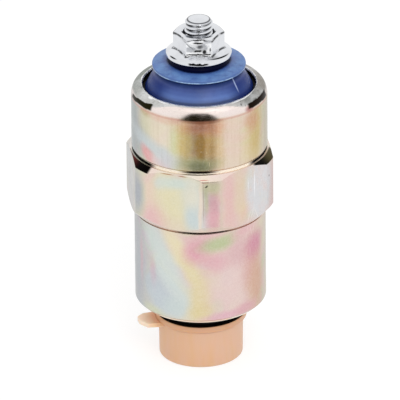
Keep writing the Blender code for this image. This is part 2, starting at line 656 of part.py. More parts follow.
def make_insulator():
    """Blue moulding: clamped flange, cone, round shed and the boss under the nut."""
    rebate_top = FLANGE_BOTTOM + RIM_SEAL_SECTION + FIT_GAP
    seal_bore = STUD_BORE + STUD_SEAL_SECTION + FIT_GAP
    outline = [
        (STUD_BORE, BOSS_TOP),
        (BOSS_RADIUS, BOSS_TOP),
        (BOSS_FOOT_RADIUS, BOSS_FOOT),
        (SHED_RADIUS - SHED_EDGE_CHAMFER, SHED_SHOULDER),
        (SHED_RADIUS, SHED_SHOULDER - SHED_EDGE_CHAMFER),
        (SHED_RADIUS, SHED_BOTTOM + SHED_EDGE_CHAMFER),
        (SHED_RADIUS - SHED_EDGE_CHAMFER, SHED_BOTTOM),
        (CONE_TOP_RADIUS, SHED_BOTTOM),
        (CONE_TOP_RADIUS, CONE_TOP),
        (CONE_FOOT_RADIUS, FLANGE_TOP),
        (STACK_RADIUS, FLANGE_TOP),
        (STACK_RADIUS, rebate_top),
        (REBATE_RADIUS, rebate_top),
        (REBATE_RADIUS, FLANGE_BOTTOM),
        (seal_bore, FLANGE_BOTTOM),
        (seal_bore, STUD_SEAL_TOP + FIT_GAP),
        (STUD_BORE, STUD_SEAL_TOP + FIT_GAP),
    ]
    insulator = lathe("insulator", outline, "blue_moulding", OUTER_STEPS)
    pocket = rod_outline(POCKET_RADIUS, FLANGE_BOTTOM - CUT_PAST, POCKET_TOP)
    combine(insulator, lathe("head_pocket", pocket, steps=HEX_SIDES), "DIFFERENCE")
    slot_end = LEAD_OFFSET + TAG_PAST_LEAD + FIT_GAP
    slot_top = TAG_TOP + FIT_GAP
    slot_bottom = FLANGE_BOTTOM - CUT_PAST
    size = (slot_end, TAG_WIDTH + 2 * FIT_GAP, slot_top - slot_bottom)
    slot = block_cutter("tag_slot", size, (slot_end / 2, 0.0, (slot_bottom + slot_top) / 2))
    return combine(insulator, slot, "DIFFERENCE")


def make_rim_seal():
    """O-ring in the insulator's rebate, which keeps water out of the coil."""
    inner = STACK_RADIUS - RIM_SEAL_SECTION
    outline = ring_outline(inner, RIM_SEAL_SECTION, FLANGE_BOTTOM)
    return lathe("rim_o_ring", outline, "black_rubber", OUTER_STEPS)


def make_stud():
    """Terminal stud with a hexagon head that the insulator's pocket keeps from turning."""
    outline = [
        (0.0, TAG_BOTTOM),
        (STUD_PIP_RADIUS, TAG_BOTTOM),
        (STUD_PIP_RADIUS, HEAD_SEAT + STUD_HEAD_HEIGHT / 2),
        (STUD_RADIUS, HEAD_SEAT + STUD_HEAD_HEIGHT / 2),
        (STUD_RADIUS, STUD_TOP - STUD_TIP_CHAMFER),
        (STUD_RADIUS - STUD_TIP_CHAMFER, STUD_TOP),
        (0.0, STUD_TOP),
    ]
    stud = lathe("terminal_stud", outline, "zinc_bright")
    head = lathe("stud_head", rod_outline(STUD_HEAD_RADIUS, HEAD_SEAT, STUD_HEAD_TOP), steps=HEX_SIDES)
    return combine(stud, head, "UNION")


def make_stud_seal():
    """Small O-ring round the stud, between its head and the insulator."""
    outline = ring_outline(STUD_BORE, STUD_SEAL_SECTION, STUD_HEAD_TOP + FIT_GAP)
    return lathe("stud_o_ring", outline, "black_rubber")


def make_nut():
    """Flange nut: a hexagon bar turned to a chamfer, joined to its flange and bored."""
    corner = NUT_ACROSS_FLATS / 2 / cos(pi / HEX_SIDES)
    bar_foot = NUT_SEAT + NUT_FLANGE_RIM / 2
    nut = lathe("terminal_nut", rod_outline(corner, bar_foot, NUT_TOP), "zinc_bright", HEX_SIDES)
    fall = (NUT_CORNER_RADIUS - NUT_TOP_RADIUS) * tan(NUT_CHAMFER_ANGLE)
    turned = [
        (0.0, bar_foot - CUT_PAST),
        (NUT_CORNER_RADIUS, bar_foot - CUT_PAST),
        (NUT_CORNER_RADIUS, NUT_TOP - fall),
        (NUT_TOP_RADIUS, NUT_TOP),
        (0.0, NUT_TOP + CUT_PAST),
    ]
    combine(nut, lathe("nut_turning", turned, steps=OUTER_STEPS), "INTERSECT")
    flange_top = NUT_SEAT + NUT_FLANGE_RIM + NUT_FLANGE_RISE
    flange = [
        (0.0, NUT_SEAT),
        (NUT_FLANGE_RADIUS - NUT_FLANGE_RIM / 3, NUT_SEAT),
        (NUT_FLANGE_RADIUS, NUT_SEAT + NUT_FLANGE_RIM / 3),
        (NUT_FLANGE_RADIUS, NUT_SEAT + NUT_FLANGE_RIM),
        (NUT_ACROSS_FLATS / 2, flange_top),
        (0.0, flange_top),
    ]
    combine(nut, lathe("nut_flange", flange, steps=OUTER_STEPS), "UNION")
    bore = [
        (0.0, NUT_SEAT - CUT_PAST),
        (STUD_BORE, NUT_SEAT - CUT_PAST),
        (STUD_BORE, NUT_TOP - NUT_BORE_CHAMFER),
        (STUD_BORE + NUT_BORE_CHAMFER + CUT_PAST, NUT_TOP + CUT_PAST),
        (0.0, NUT_TOP + CUT_PAST),
    ]
    return combine(nut, lathe("nut_bore", bore), "DIFFERENCE")


def main():
    """Build every piece of the solenoid."""
    clear_scene()
    make_housing()
    make_nose_seal()
    make_cap()
    make_plunger()
    make_plunger_seat()
    make_return_spring()
    make_guide_sleeve()
    make_wave_washer()
    make_bobbin()
    make_winding()
    make_top_plate()
    make_pole_piece()
    make_leads()
    make_insulating_disc()
    make_contact_tag()
    make_insulator()
    make_rim_seal()
    make_stud()
    make_stud_seal()
    make_nut()


main()
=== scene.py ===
from math import cos, pi, radians, sin, tan

import bmesh
import bpy
from bpy.props import FloatProperty, FloatVectorProperty, PointerProperty
from mathutils import Color, Matrix, Vector


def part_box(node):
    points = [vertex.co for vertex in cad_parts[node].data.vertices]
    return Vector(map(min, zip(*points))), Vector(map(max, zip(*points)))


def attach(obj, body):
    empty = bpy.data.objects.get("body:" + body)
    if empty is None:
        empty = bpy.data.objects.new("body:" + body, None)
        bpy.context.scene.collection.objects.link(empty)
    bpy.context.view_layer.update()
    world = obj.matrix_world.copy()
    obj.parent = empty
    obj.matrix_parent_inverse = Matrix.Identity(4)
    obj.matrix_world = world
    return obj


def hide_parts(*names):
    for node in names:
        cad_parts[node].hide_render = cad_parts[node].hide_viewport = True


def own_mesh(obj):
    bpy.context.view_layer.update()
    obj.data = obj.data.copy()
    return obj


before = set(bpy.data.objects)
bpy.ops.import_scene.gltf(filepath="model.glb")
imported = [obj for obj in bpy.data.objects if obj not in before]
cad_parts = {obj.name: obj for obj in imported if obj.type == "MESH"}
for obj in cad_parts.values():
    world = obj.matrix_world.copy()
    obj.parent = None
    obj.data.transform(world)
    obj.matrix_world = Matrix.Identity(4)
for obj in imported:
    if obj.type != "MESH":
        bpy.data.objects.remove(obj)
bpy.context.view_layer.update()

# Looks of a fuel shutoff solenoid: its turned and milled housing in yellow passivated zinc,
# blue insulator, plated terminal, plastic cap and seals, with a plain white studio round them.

bl_info = {
    "name": "Fuel shutoff solenoid",
    "version": (1, 0, 0),
    "blender": (4, 5, 0),
    "location": "3D View > Sidebar > Solenoid",
    "description": "Models and finishes the visible pieces of a fuel shutoff solenoid",
    "category": "Object",
}

MM = 0.001
HOUSING_LOW, HOUSING_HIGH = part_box("housing")
CAP_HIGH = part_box("nose_cap")[1]
SEAL_LOW, SEAL_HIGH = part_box("nose_o_ring")
INSULATOR_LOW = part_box("insulator")[0]
NUT_LOW, NUT_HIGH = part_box("terminal_nut")
STUD_LOW, STUD_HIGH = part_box("terminal_stud")


def srgb(red, green, blue):
    """Linear colour of a display colour given in steps from 0 to 255."""
    parts = [channel / 255 for channel in (red, green, blue)]
    return tuple(part / 12.92 if part <= 0.04045 else ((part + 0.055) / 1.055) ** 2.4 for part in parts)


def length(name, description, default):
    """A size in metres."""
    return FloatProperty(name=name, description=description, default=default, subtype="DISTANCE", precision=5)


def turn(name, description, default):
    """An angle, kept in radians and shown in degrees."""
    return FloatProperty(name=name, description=description, default=radians(default), subtype="ANGLE")


def share(name, description, default):
    """A plain factor."""
    return FloatProperty(name=name, description=description, default=default, subtype="FACTOR")


def colour(name, description, default):
    """A colour given as it is seen on a display."""
    return FloatVectorProperty(
        name=name, description=description, default=srgb(*default), subtype="COLOR", min=0.0, max=1.0
    )


class HousingSizes(bpy.types.PropertyGroup):
    """Sizes of the turned and milled steel housing."""

    nose_radius: length("Nose radius", "Crest radius of the nose's thread", 6.0 * MM)
    nose_chamfer: length("Nose chamfer", "Chamfer at the nose's end", 0.6 * MM)
    undercut: length("Undercut", "Depth of the undercut behind the thread", 0.3 * MM)
    undercut_length: length("Undercut length", "From the sealing face to the thread", 2.3 * MM)
    thread_pitch: length("Thread pitch", "Pitch of the nose's thread", 1.25 * MM)
    thread_depth: length("Thread depth", "Depth of the nose's thread", 0.62 * MM)
    stem_bore: length("Stem bore", "Radius of the hole for the plunger's stem", 3.4 * MM)
    floor_thickness: length("Floor thickness", "Steel between the sealing face and the chamber", 2.6 * MM)
    skirt_radius: length("Skirt radius", "Radius of the skirt under the hexagon", 11.35 * MM)
    skirt_length: length("Skirt length", "From the sealing face to the hexagon", 17.9 * MM)
    skirt_chamfer_width: length("Skirt chamfer width", "Chamfer over the sealing face, across", 0.95 * MM)
    skirt_chamfer_height: length("Skirt chamfer height", "Chamfer over the sealing face, up", 0.9 * MM)
    chamber_radius: length("Chamber radius", "Radius of the coil's chamber", 9.6 * MM)
    across_flats: length("Across flats", "Width of the spanner hexagon", 24.0 * MM)
    hexagon_height: length("Hexagon height", "Height of the spanner hexagon", 11.1 * MM)
    corner_radius: length("Corner radius", "Radius to which the hexagon's corners are turned", 13.03 * MM)
    top_face_radius: length("Top face radius", "Where the upper chamfer starts", 12.0 * MM)
    bottom_face_radius: length("Bottom face radius", "Where the lower chamfer starts", 11.6 * MM)
    top_chamfer: turn("Upper chamfer", "Slope of the hexagon's upper chamfer", 40.0)
    bottom_chamfer: turn("Lower chamfer", "Slope of the hexagon's lower chamfer", 48.0)
    hexagon_turn: turn("Hexagon turn", "Turn of the front corner from the front, to the right", 9.0)
    edge_softness: length("Edge softness", "Reach over which milled edges are broken", 0.07 * MM)
    groove_width: length("Groove width", "Width of the grooves over and under the hexagon", 0.45 * MM)
    groove_depth: length("Groove depth", "Depth of those grooves", 0.25 * MM)
    barrel_radius: length("Barrel radius", "Radius of the barrel over the hexagon", 11.72 * MM)
    barrel_length: length("Barrel length", "From the hexagon to the rim's crest", 12.2 * MM)
    crimp_radius: length("Crimp radius", "Bore of the barrel round the clamped stack", 10.5 * MM)
    plate_depth: length("Plate depth", "From the rim's crest to the step under the plate", 7.9 * MM)
    crest_radius: length("Crest radius", "Radius of the rolled rim's crest", 10.15 * MM)
    lip_radius: length("Lip radius", "Radius of the rolled lip's inner edge", 9.75 * MM)
    lip_thickness: length("Lip thickness", "Thickness of the rolled lip", 0.6 * MM)
    shoulder_height: length("Shoulder height", "Height over which the rim rolls in", 2.35 * MM)


class CapSizes(bpy.types.PropertyGroup):
    """Sizes of the push-on cap and of the seal over it."""

    bore: length("Bore", "Inner radius of the cap", 6.3 * MM)
    radius: length("Radius", "Outer radius at the cap's foot", 7.25 * MM)
    draft: length("Draft", "How much wider the wall is under its collar", 0.1 * MM)
    floor: length("Floor", "Thickness of the cap's floor", 1.2 * MM)
    foot_round: length("Foot round", "Round at the cap's foot", 0.28 * MM)
    collar_height: length("Collar height", "Height of the collar", 1.15 * MM)
    collar_radius: length("Collar radius", "Outer radius of the collar", 7.95 * MM)
    tab_reach: length("Tab reach", "How far the tab stands past the collar", 3.1 * MM)
    tab_drop: length("Tab drop", "From the cap's mouth to the tab's underside", 1.775 * MM)
    tab_root: length("Tab root", "Width of the tab at the cap", 4.8 * MM)
    tab_tip: length("Tab tip", "Width of the tab before its clipped corners", 4.3 * MM)
    tab_clip: length("Tab clip", "Length of the tab's clipped corners", 1.15 * MM)
    tab_back_clip: length("Tab back clip", "How far the back corner is clipped in", 1.0 * MM)
    tab_front_clip: length("Tab front clip", "How far the front corner is clipped in", 1.8 * MM)
    tab_thickness: length("Tab thickness", "Thickness of the tab", 0.8 * MM)
    tab_turn: turn("Tab turn", "Turn of the tab from the left, to the front", 12.0)


class InsulatorSizes(bpy.types.PropertyGroup):
    """Sizes of the blue moulding."""

    stack_radius: length("Flange radius", "Radius of the clamped flange", 10.2 * MM)
    flange: length("Flange", "Thickness of the clamped flange", 2.9 * MM)
    cone_foot: length("Cone foot", "Radius of the cone where it leaves the rim", 9.3 * MM)
    cone_top: length("Cone top", "Radius of the cone under the shed", 7.35 * MM)
    cone_height: length("Cone height", "Height of the cone", 3.7 * MM)
    waist: length("Waist", "Straight stretch between cone and shed", 0.3 * MM)
    shed_radius: length("Shed radius", "Radius of the shed", 8.05 * MM)
    shed_edge: length("Shed edge", "Thickness of the shed at its edge", 0.55 * MM)
    shed_slope: length("Shed slope", "Rise of the shed's upper side", 0.6 * MM)
    boss_foot: length("Boss foot", "Radius of the boss at the shed", 5.2 * MM)
    boss_top: length("Boss top", "Radius of the boss under the nut", 4.7 * MM)
    boss_height: length("Boss height", "Height of the boss", 0.75 * MM)
    stud_bore: length("Stud bore", "Radius of the hole for the stud", 2.75 * MM)


class TerminalSizes(bpy.types.PropertyGroup):
    """Sizes of the stud and the nut on it."""

    stud_radius: length("Stud radius", "Crest radius of the stud's thread", 2.45 * MM)
    stud_pitch: length("Stud pitch", "Pitch of the stud's thread", 0.9 * MM)
    stud_depth: length("Stud depth", "Depth of the stud's thread", 0.42 * MM)
    stud_chamfer: length("Stud chamfer", "Chamfer at the stud's tip", 0.52 * MM)
    head_flats: length("Head across flats", "Width of the stud's head", 7.0 * MM)
    head_height: length("Head height", "Height of the stud's head", 1.4 * MM)
    pip_radius: length("Pip radius", "Radius of the pip under the head", 0.9 * MM)
    pip_height: length("Pip height", "Height of the pip under the head", 0.7 * MM)
    nut_flats: length("Nut across flats", "Width of the nut", 7.8 * MM)
    nut_corner: length("Nut corner", "Radius to which the nut's corners are turned", 4.423 * MM)
    nut_top: length("Nut top face", "Where the nut's chamfer starts", 3.7 * MM)
    nut_chamfer: turn("Nut chamfer", "Slope of the nut's chamfer", 30.0)
    flange_radius: length("Nut flange radius", "Radius of the nut's flange", 5.65 * MM)
    flange_rim: length("Nut flange rim", "Thickness of the flange at its edge", 0.5 * MM)
    flange_rise: length("Nut flange rise", "Rise of the flange's upper side", 0.85 * MM)
    nut_bore: length("Nut bore", "Radius of the nut's hole", 2.75 * MM)
    bore_chamfer: length("Bore chamfer", "Countersink of the nut's hole", 0.3 * MM)
    edge_softness: length("Edge softness", "Reach over which the nut's edges are broken", 0.12 * MM)


class FinishColours(bpy.types.PropertyGroup):
    """Colours of the finishes."""

    zinc_pale: colour("Zinc, pale", "Ground colour of the yellow passivated zinc", (222, 208, 192))
    rim_grey: colour("Rolled rim", "Zinc rubbed grey on the rolled rim", (236, 238, 240))
    blue: colour("Blue moulding", "Insulator", (74, 110, 174))
    # painted shade on the flanks of the insulator's cone
    blue_flank_shade: colour("Blue, deep", "Flanks of the insulator's cone", (16, 36, 104))
    peach: colour("Peach plastic", "Cap", (222, 178, 140))
    peach_pink: colour("Peach, flushed", "Pinker clouds in the cap", (222, 182, 158))
    peach_pale: colour("Peach, thin", "Thin edges of the cap", (248, 224, 202))
    # partly the thicker plastic, partly painted shade at the tab's root
    peach_thick_and_shade: colour("Peach, thick", "Where the cap is thick or shaded", (226, 166, 118))
    bright: colour("Bright zinc", "Nut and stud", (226, 228, 232))
    rubber: colour("Black rubber", "Seals", (12, 11, 11))


class StudioSettings(bpy.types.PropertyGroup):
    """Camera, light and floor."""

    elevation: turn("Elevation", "How far the camera looks down", 26.0)
    roll: turn("Roll", "Lean of the picture's top to the left", 0.45)
    distance: length("Distance", "From the camera to the point that it looks at", 1.5)
    field: length("Field", "Width of the picture at that point", 69.08 * MM)
    aim_height: length("Aim height", "Height of the point that the camera looks at", 28.8 * MM)
    sky_level: share("Sky level", "Light of the white studio on plain surfaces", 0.86)
    key_power: FloatProperty(
        name="Key power", description="Power of the large lamp", default=2.0, unit="POWER"
    )
    floor_white: share("Floor white", "Reflectance of the floor", 0.95)


# Most that a fillet takes of a side, and how many reaches of the fillet away the side's own shading starts.
FILLET_SHARE = 0.42
FILLET_HOLD = 1.12


def corner_fillet(before, here, after, fillet, steps):
    """Points of a round corner, with a point on each side that keeps the flats' shading flat."""
    arriving, leaving = before - here, after - here
    half = arriving.angle(leaving) / 2
    reach = min(fillet / tan(half), FILLET_SHARE * arriving.length, FILLET_SHARE * leaving.length)
    start = here + arriving.normalized() * reach
    end = here + leaving.normalized() * reach
    points = [here + arriving.normalized() * reach * FILLET_HOLD]
    for step in range(steps + 1):
        along = step / steps
        points.append((1 - along) ** 2 * start + 2 * along * (1 - along) * here + along**2 * end)
    points.append(here + leaving.normalized() * reach * FILLET_HOLD)
    return points


def rounded(corners, steps=4):
    """Outline through (radius, height, fillet) corners, given in order and closed end to end."""
    outline = []
    count = len(corners)
    for index, (radius, height, fillet) in enumerate(corners):
        here = Vector((radius, height))
        if not fillet:
            outline.append(here)
            continue
        before = Vector(corners[index - 1][:2])
        after = Vector(corners[(index + 1) % count][:2])
        outline.extend(corner_fillet(before, here, after, fillet, steps))
    return [(point.x, point.y) for point in outline]


def finer(outline, low, high, step):
    """The outline with extra points wherever it runs between two heights."""
    points = []
    for start, end in zip(outline, outline[1:] + outline[:1]):
        points.append(start)
        run = Vector(end) - Vector(start)
        parts = int(run.length / step)
        between = [Vector(start) + run * (part / parts) for part in range(1, parts)]
        points.extend((point.x, point.y) for point in between if low <= point.y <= high)
    return points


def even_angles(count):
    """Equal steps round a turned piece."""
    return [2 * pi * step / count for step in range(count)]


def hexagon_angles(flat_turn, edge, wide_step=1.5, near_step=0.25, near_count=6):
    """Steps round a hexagonal piece, close together where a flat meets a turned corner."""
    offsets = {round(-30 + wide_step * step, 3) for step in range(int(60 / wide_step))}
    near = near_step * near_count
    offsets = {offset for offset in offsets if min(abs(offset - edge), abs(offset + edge)) > near + near_step}
    for side in (-edge, edge):
        offsets |= {round(side + near_step * step, 3) for step in range(-near_count, near_count + 1)}
    return [flat_turn + radians(60 * side + offset) for side in range(6) for offset in sorted(offsets)]


def turned_piece(name, outline, angles):
    """Turn (radius, height) points about Z into one closed mesh with its faces outwards."""
    on_axis = 1e-9
    shape = bmesh.new()
    rings = []
    for radius, height in outline:
        if radius < on_axis:
            rings.append([shape.verts.new((0.0, 0.0, height))] * len(angles))
        else:
            rings.append([shape.verts.new((radius * cos(a), radius * sin(a), height)) for a in angles])
    pairs = list(zip(rings, rings[1:]))
    if min(radius for radius, height in outline) > on_axis:
        pairs.append((rings[-1], rings[0]))
    for upper, lower in pairs:
        for step in range(len(angles)):
            after = (step + 1) % len(angles)
            corners = dict.fromkeys((upper[step], lower[step], lower[after], upper[after]))
            if len(corners) > 2:
                shape.faces.new(list(corners))
    bmesh.ops.recalc_face_normals(shape, faces=shape.faces)
    return piece_from(name, shape)


def piece_from(name, shape):
    """Put a bmesh into the scene as an object at the origin."""
    mesh = bpy.data.meshes.new(name)
    shape.to_mesh(mesh)
    shape.free()
    piece = bpy.data.objects.new(name, mesh)
    bpy.context.scene.collection.objects.link(piece)
    return piece


def settle(piece):
    """Turn what the modifiers make into the piece's own plain mesh."""
    depsgraph = bpy.context.evaluated_depsgraph_get()
    made = bpy.data.meshes.new_from_object(piece.evaluated_get(depsgraph))
    blank = piece.data
    piece.modifiers.clear()
    piece.data = made
    bpy.data.meshes.remove(blank)


def smooth(piece, material, sharp=38.0):
    """Shade a piece smooth up to an angle and give it its one material."""
    piece.data.shade_smooth()
    piece.data.set_sharp_from_angle(angle=radians(sharp))
    piece.data.materials.clear()
    piece.data.materials.append(material)


def combined(piece, other, operation):
    """Join or cut a piece with another one, which is then removed."""
    change = piece.modifiers.new(operation.lower(), "BOOLEAN")
    change.operation = operation
    change.solver = "EXACT"
    change.object = other
    settle(piece)
    bpy.data.objects.remove(other, do_unlink=True)


class Value:
    """A socket of a tree that is reckoned with like a number."""

    def __init__(self, graph, socket):
        self.graph = graph
        self.socket = socket

    def __add__(self, other):
        return self.graph.math("ADD", self, other)

    def __sub__(self, other):
        return self.graph.math("SUBTRACT", self, other)

    def __rsub__(self, other):
        return self.graph.math("SUBTRACT", other, self)

    def __mul__(self, other):
        return self.graph.math("MULTIPLY", self, other)

    def __truediv__(self, other):
        return self.graph.math("DIVIDE", self, other)

    def __rtruediv__(self, other):
        return self.graph.math("DIVIDE", other, self)

    def __abs__(self):
        return self.graph.math("ABSOLUTE", self)

    def __gt__(self, other):
        return self.graph.math("GREATER_THAN", self, other)

    def __lt__(self, other):
        return self.graph.math("LESS_THAN", self, other)

    def __or__(self, other):
        """The larger of two values, so either of two masks."""
        return self.graph.math("MAXIMUM", self, other)

    def scaled(self, factor, offset):
        return self.graph.math("MULTIPLY_ADD", self, factor, offset)

    def step(self, start, end, low=0.0, high=1.0):
        """Smooth step from low at start to high at end."""
        given = (self, start, end, low, high)
        return self.graph.made("ShaderNodeMapRange", *given, interpolation_type="SMOOTHSTEP")

    def between(self, low, high, soft):
        """1 between two values, with soft ends outside of them."""
        return self.step(low - soft, low) * self.step(high + soft, high)


class Graph:
    """Short calls that add and join nodes of one tree."""

    def __init__(self, tree):
        self.tree = tree

    def add(self, kind, **settings):
        node = self.tree.nodes.new(kind)
        for name, value in settings.items():
            setattr(node, name, value)
        return node

    def put(self, value, socket):
        """Link a value to a socket, or set what the socket holds itself."""
        if isinstance(value, Value):
            value = value.socket
        if isinstance(value, bpy.types.NodeSocket):
            self.tree.links.new(value, socket)
        else:
            socket.default_value = value

    def made(self, kind, *values, **settings):
        """First output of a new node with these inputs."""
        node = self.add(kind, **settings)
        for value, socket in zip(values, node.inputs):
            self.put(value, socket)
        return Value(self, node.outputs[0])

    def math(self, operation, *values, clamp=False):
        return self.made("ShaderNodeMath", *values, operation=operation, use_clamp=clamp)

    def named(self, kind):
        """Outputs of a new node by name."""
        return {socket.name: Value(self, socket) for socket in self.add(kind).outputs}

    def split(self, vector):
        """X, Y and Z of a vector."""
        node = self.add("ShaderNodeSeparateXYZ")
        self.put(vector, node.inputs[0])
        return [Value(self, socket) for socket in node.outputs]


def rule_tree(name, sizes):
    """New Geometry Nodes tree with a mesh input, named sizes and a material."""
    tree = bpy.data.node_groups.new(name, "GeometryNodeTree")
    tree.interface.new_socket("Geometry", in_out="INPUT", socket_type="NodeSocketGeometry")
    for size in sizes:
        tree.interface.new_socket(size, in_out="INPUT", socket_type="NodeSocketFloat")
    tree.interface.new_socket("Material", in_out="INPUT", socket_type="NodeSocketMaterial")
    tree.interface.new_socket("Geometry", in_out="OUTPUT", socket_type="NodeSocketGeometry")
    graph = Graph(tree)
    return graph, graph.named("NodeGroupInput")


def close_tree(graph, given, place, radius, new_radius):
    """Move every point to its new radius and end the tree with real geometry in one material."""
    x, y, z = place
    grow = new_radius / radius
    shift = graph.add("GeometryNodeSetPosition")
    real = graph.add("GeometryNodeRealizeInstances")
    painted = graph.add("GeometryNodeSetMaterial")
    graph.put(given["Geometry"], shift.inputs["Geometry"])
    graph.put(graph.made("ShaderNodeCombineXYZ", x * grow, y * grow, z), shift.inputs["Position"])
    graph.put(shift.outputs["Geometry"], real.inputs["Geometry"])
    graph.put(real.outputs["Geometry"], painted.inputs["Geometry"])
    graph.put(given["Material"], painted.inputs["Material"])
    graph.put(painted.outputs["Geometry"], graph.add("NodeGroupOutput").inputs["Geometry"])
    return graph.tree


def polar_place(graph):
    """Position as X, Y and Z, with its radius and its angle round Z."""
    x, y, z = graph.split(graph.made("GeometryNodeInputPosition"))
    radius = graph.math("SQRT", y.scaled(y, x * x))
    return (x, y, z), radius, graph.math("ARCTAN2", y, x)


FLATS_SIZES = ("Across Flats", "Turn", "Softness", "Foot Radius", "Foot Height", "Foot Slope")
THREAD_SIZES = ("Pitch", "Depth", "Crest Radius", "Lowest", "Highest", "Runout")
NO_FOOT = (0.0, 0.0, 1.0)
RUNOUT = 0.5 * MM


def flats_tree():
    """Mills six flats into a turned blank, down to the cone of a flange where it has one."""
    graph, given = rule_tree("mill_six_flats", FLATS_SIZES)
    place, radius, angle = polar_place(graph)
    side = graph.math("WRAP", angle - given["Turn"], pi / 6, -pi / 6)
    flat = given["Across Flats"] * 0.5 / graph.math("COSINE", side)
    climb = place[2] - given["Foot Height"]
    foot = given["Foot Radius"] - climb / given["Foot Slope"]
    limit = graph.math("SMOOTH_MAX", flat, foot, given["Softness"])
    milled = graph.math("SMOOTH_MIN", radius, limit, given["Softness"])
    return close_tree(graph, given, place, radius, milled)


def thread_tree():
    """Cuts a right-hand thread into a turned blank between two heights."""
    graph, given = rule_tree("cut_thread", THREAD_SIZES)
    place, radius, angle = polar_place(graph)
    height = place[2]
    turns = graph.math("FRACT", height / given["Pitch"] - angle / (2 * pi))
    groove = abs(turns.scaled(2.0, -1.0)).step(0.12, 0.88)
    root = given["Crest Radius"] - groove * given["Depth"]
    start = height.step(given["Lowest"], given["Lowest"] + given["Runout"])
    end = height.step(given["Highest"] - given["Runout"], given["Highest"], 1.0, 0.0)
    cut = ((radius - root) | 0.0) * (start * end)
    return close_tree(graph, given, place, radius, radius - cut)


def shape_by(piece, tree, names, values):
    """Run a tree on a piece with its named inputs and keep the result as a plain mesh."""
    rule = piece.modifiers.new(tree.name, "NODES")
    rule.node_group = tree
    sockets = {item.name: item.identifier for item in tree.interface.items_tree if item.in_out == "INPUT"}
    for name, value in zip((*names, "Material"), values):
        rule[sockets[name]] = value
    settle(piece)


def linear(shade):
    """RGBA of a display colour given as a tuple or of a linear Color, or a Value as it is."""
    if isinstance(shade, Value):
        return shade
    return (*(srgb(*shade) if isinstance(shade, tuple) else shade), 1.0)


class Finish(Graph):
    """A Principled material under construction, with its colour so far."""

    def __init__(self, name, roughness, metallic=0.0, tint=None):
        self.material = bpy.data.materials.new(name)
        self.material.use_nodes = True
        super().__init__(self.material.node_tree)
        self.shader = self.tree.nodes["Principled BSDF"]
        self.set("Roughness", roughness)
        self.set("Metallic", metallic)
        self.place = self.add("ShaderNodeTexCoord").outputs["Object"]
        self.around = None
        self.tint = tint

    def set(self, name, value):
        self.put(value, self.shader.inputs[name])

    def noise(self, scale, detail=3.0, roughness=0.55, stretch=None, distortion=0.0):
        """Noise over the piece, where wanted with other scales across and along Z."""
        node = self.add("ShaderNodeTexNoise")
        place = self.place
        if stretch:
            mapping = self.add("ShaderNodeMapping")
            self.put(place, mapping.inputs["Vector"])
            self.put((stretch[0], stretch[0], stretch[1]), mapping.inputs["Scale"])
            place = mapping.outputs[0]
        self.put(place, node.inputs["Vector"])
        self.put(scale, node.inputs["Scale"])
        self.put(detail, node.inputs["Detail"])
        self.put(roughness, node.inputs["Roughness"])
        self.put(distortion, node.inputs["Distortion"])
        return Value(self, node.outputs[0])

    def shake(self, scale, size, detail=3.0):
        """Noise that swings as far below 0 as above it, by a size from end to end."""
        return self.noise(scale, detail).scaled(size, -size / 2)

    def paint(self, mask, shade, strength=1.0, blend="MIX"):
        """Lay a shade over the colour so far, as far as a mask and a strength say."""
        node = self.add("ShaderNodeMix", data_type="RGBA", blend_type=blend)
        self.put(mask if strength == 1.0 else mask * strength, node.inputs[0])
        self.put(linear(self.tint), node.inputs[6])
        self.put(linear(shade), node.inputs[7])
        self.tint = Value(self, node.outputs[2])

    def ramp(self, factor, *stops):
        """Colour ramp through (position, colour) stops."""
        node = self.add("ShaderNodeValToRGB")
        node.color_ramp.interpolation = "EASE"
        for index, (position, shade) in enumerate(stops):
            if index > 1:
                node.color_ramp.elements.new(position)
            element = node.color_ramp.elements[index]
            element.position = position
            element.color = linear(shade)
        self.put(factor, node.inputs[0])
        return Value(self, node.outputs[0])

    def facing(self):
        """Which way the surface points on the piece itself, as X, Y and Z."""
        return self.split(self.add("ShaderNodeTexCoord").outputs["Normal"])

    def relief(self, height, strength, distance):
        """Bump, stacked on what was there before."""
        node = self.add("ShaderNodeBump")
        self.put(strength, node.inputs["Strength"])
        self.put(distance, node.inputs["Distance"])
        self.put(height, node.inputs["Height"])
        normal = self.shader.inputs["Normal"]
        if normal.is_linked:
            self.put(normal.links[0].from_socket, node.inputs["Normal"])
        self.put(node.outputs[0], normal)

    def polar(self):
        """Angle in degrees from the front to the right, height and radius in millimetres."""
        if self.around is None:
            x, y, z = self.split(self.place)
            angle = self.math("ARCTAN2", x, y * -1.0) * (180 / pi)
            radius = self.math("SQRT", y.scaled(y, x * x))
            self.around = angle, z / MM, radius / MM
        return self.around

    def done(self):
        """The material, with the colour so far as its base colour."""
        self.set("Base Color", linear(self.tint))
        return self.material


def patch_group():
    """Shader group that masks a soft leaning patch on a round piece."""
    if "soft_patch" in bpy.data.node_groups:
        return bpy.data.node_groups["soft_patch"]
    tree = bpy.data.node_groups.new("soft_patch", "ShaderNodeTree")
    names = (
        "Angle", "Height", "Middle Angle", "Middle Height", "Half Angle", "Half Height",
        "Lean", "Edge", "Lowest", "Highest",
    )
    for name in names:
        tree.interface.new_socket(name, in_out="INPUT", socket_type="NodeSocketFloat")
    tree.interface.new_socket("Mask", in_out="OUTPUT", socket_type="NodeSocketFloat")
    graph = Graph(tree)
    given = graph.named("NodeGroupInput")
    aside = given["Angle"] - given["Middle Angle"]
    above = given["Height"] - given["Middle Height"] - aside * given["Lean"]
    aside = aside / given["Half Angle"]
    above = above / given["Half Height"]
    spread = graph.math("SQRT", above.scaled(above, aside * aside))
    mask = spread.step(given["Edge"] + 1.0, 1.0 - given["Edge"])
    inside = (given["Height"] > given["Lowest"]) * (given["Height"] < given["Highest"])
    graph.put(mask * inside, graph.add("NodeGroupOutput").inputs["Mask"])
    return tree


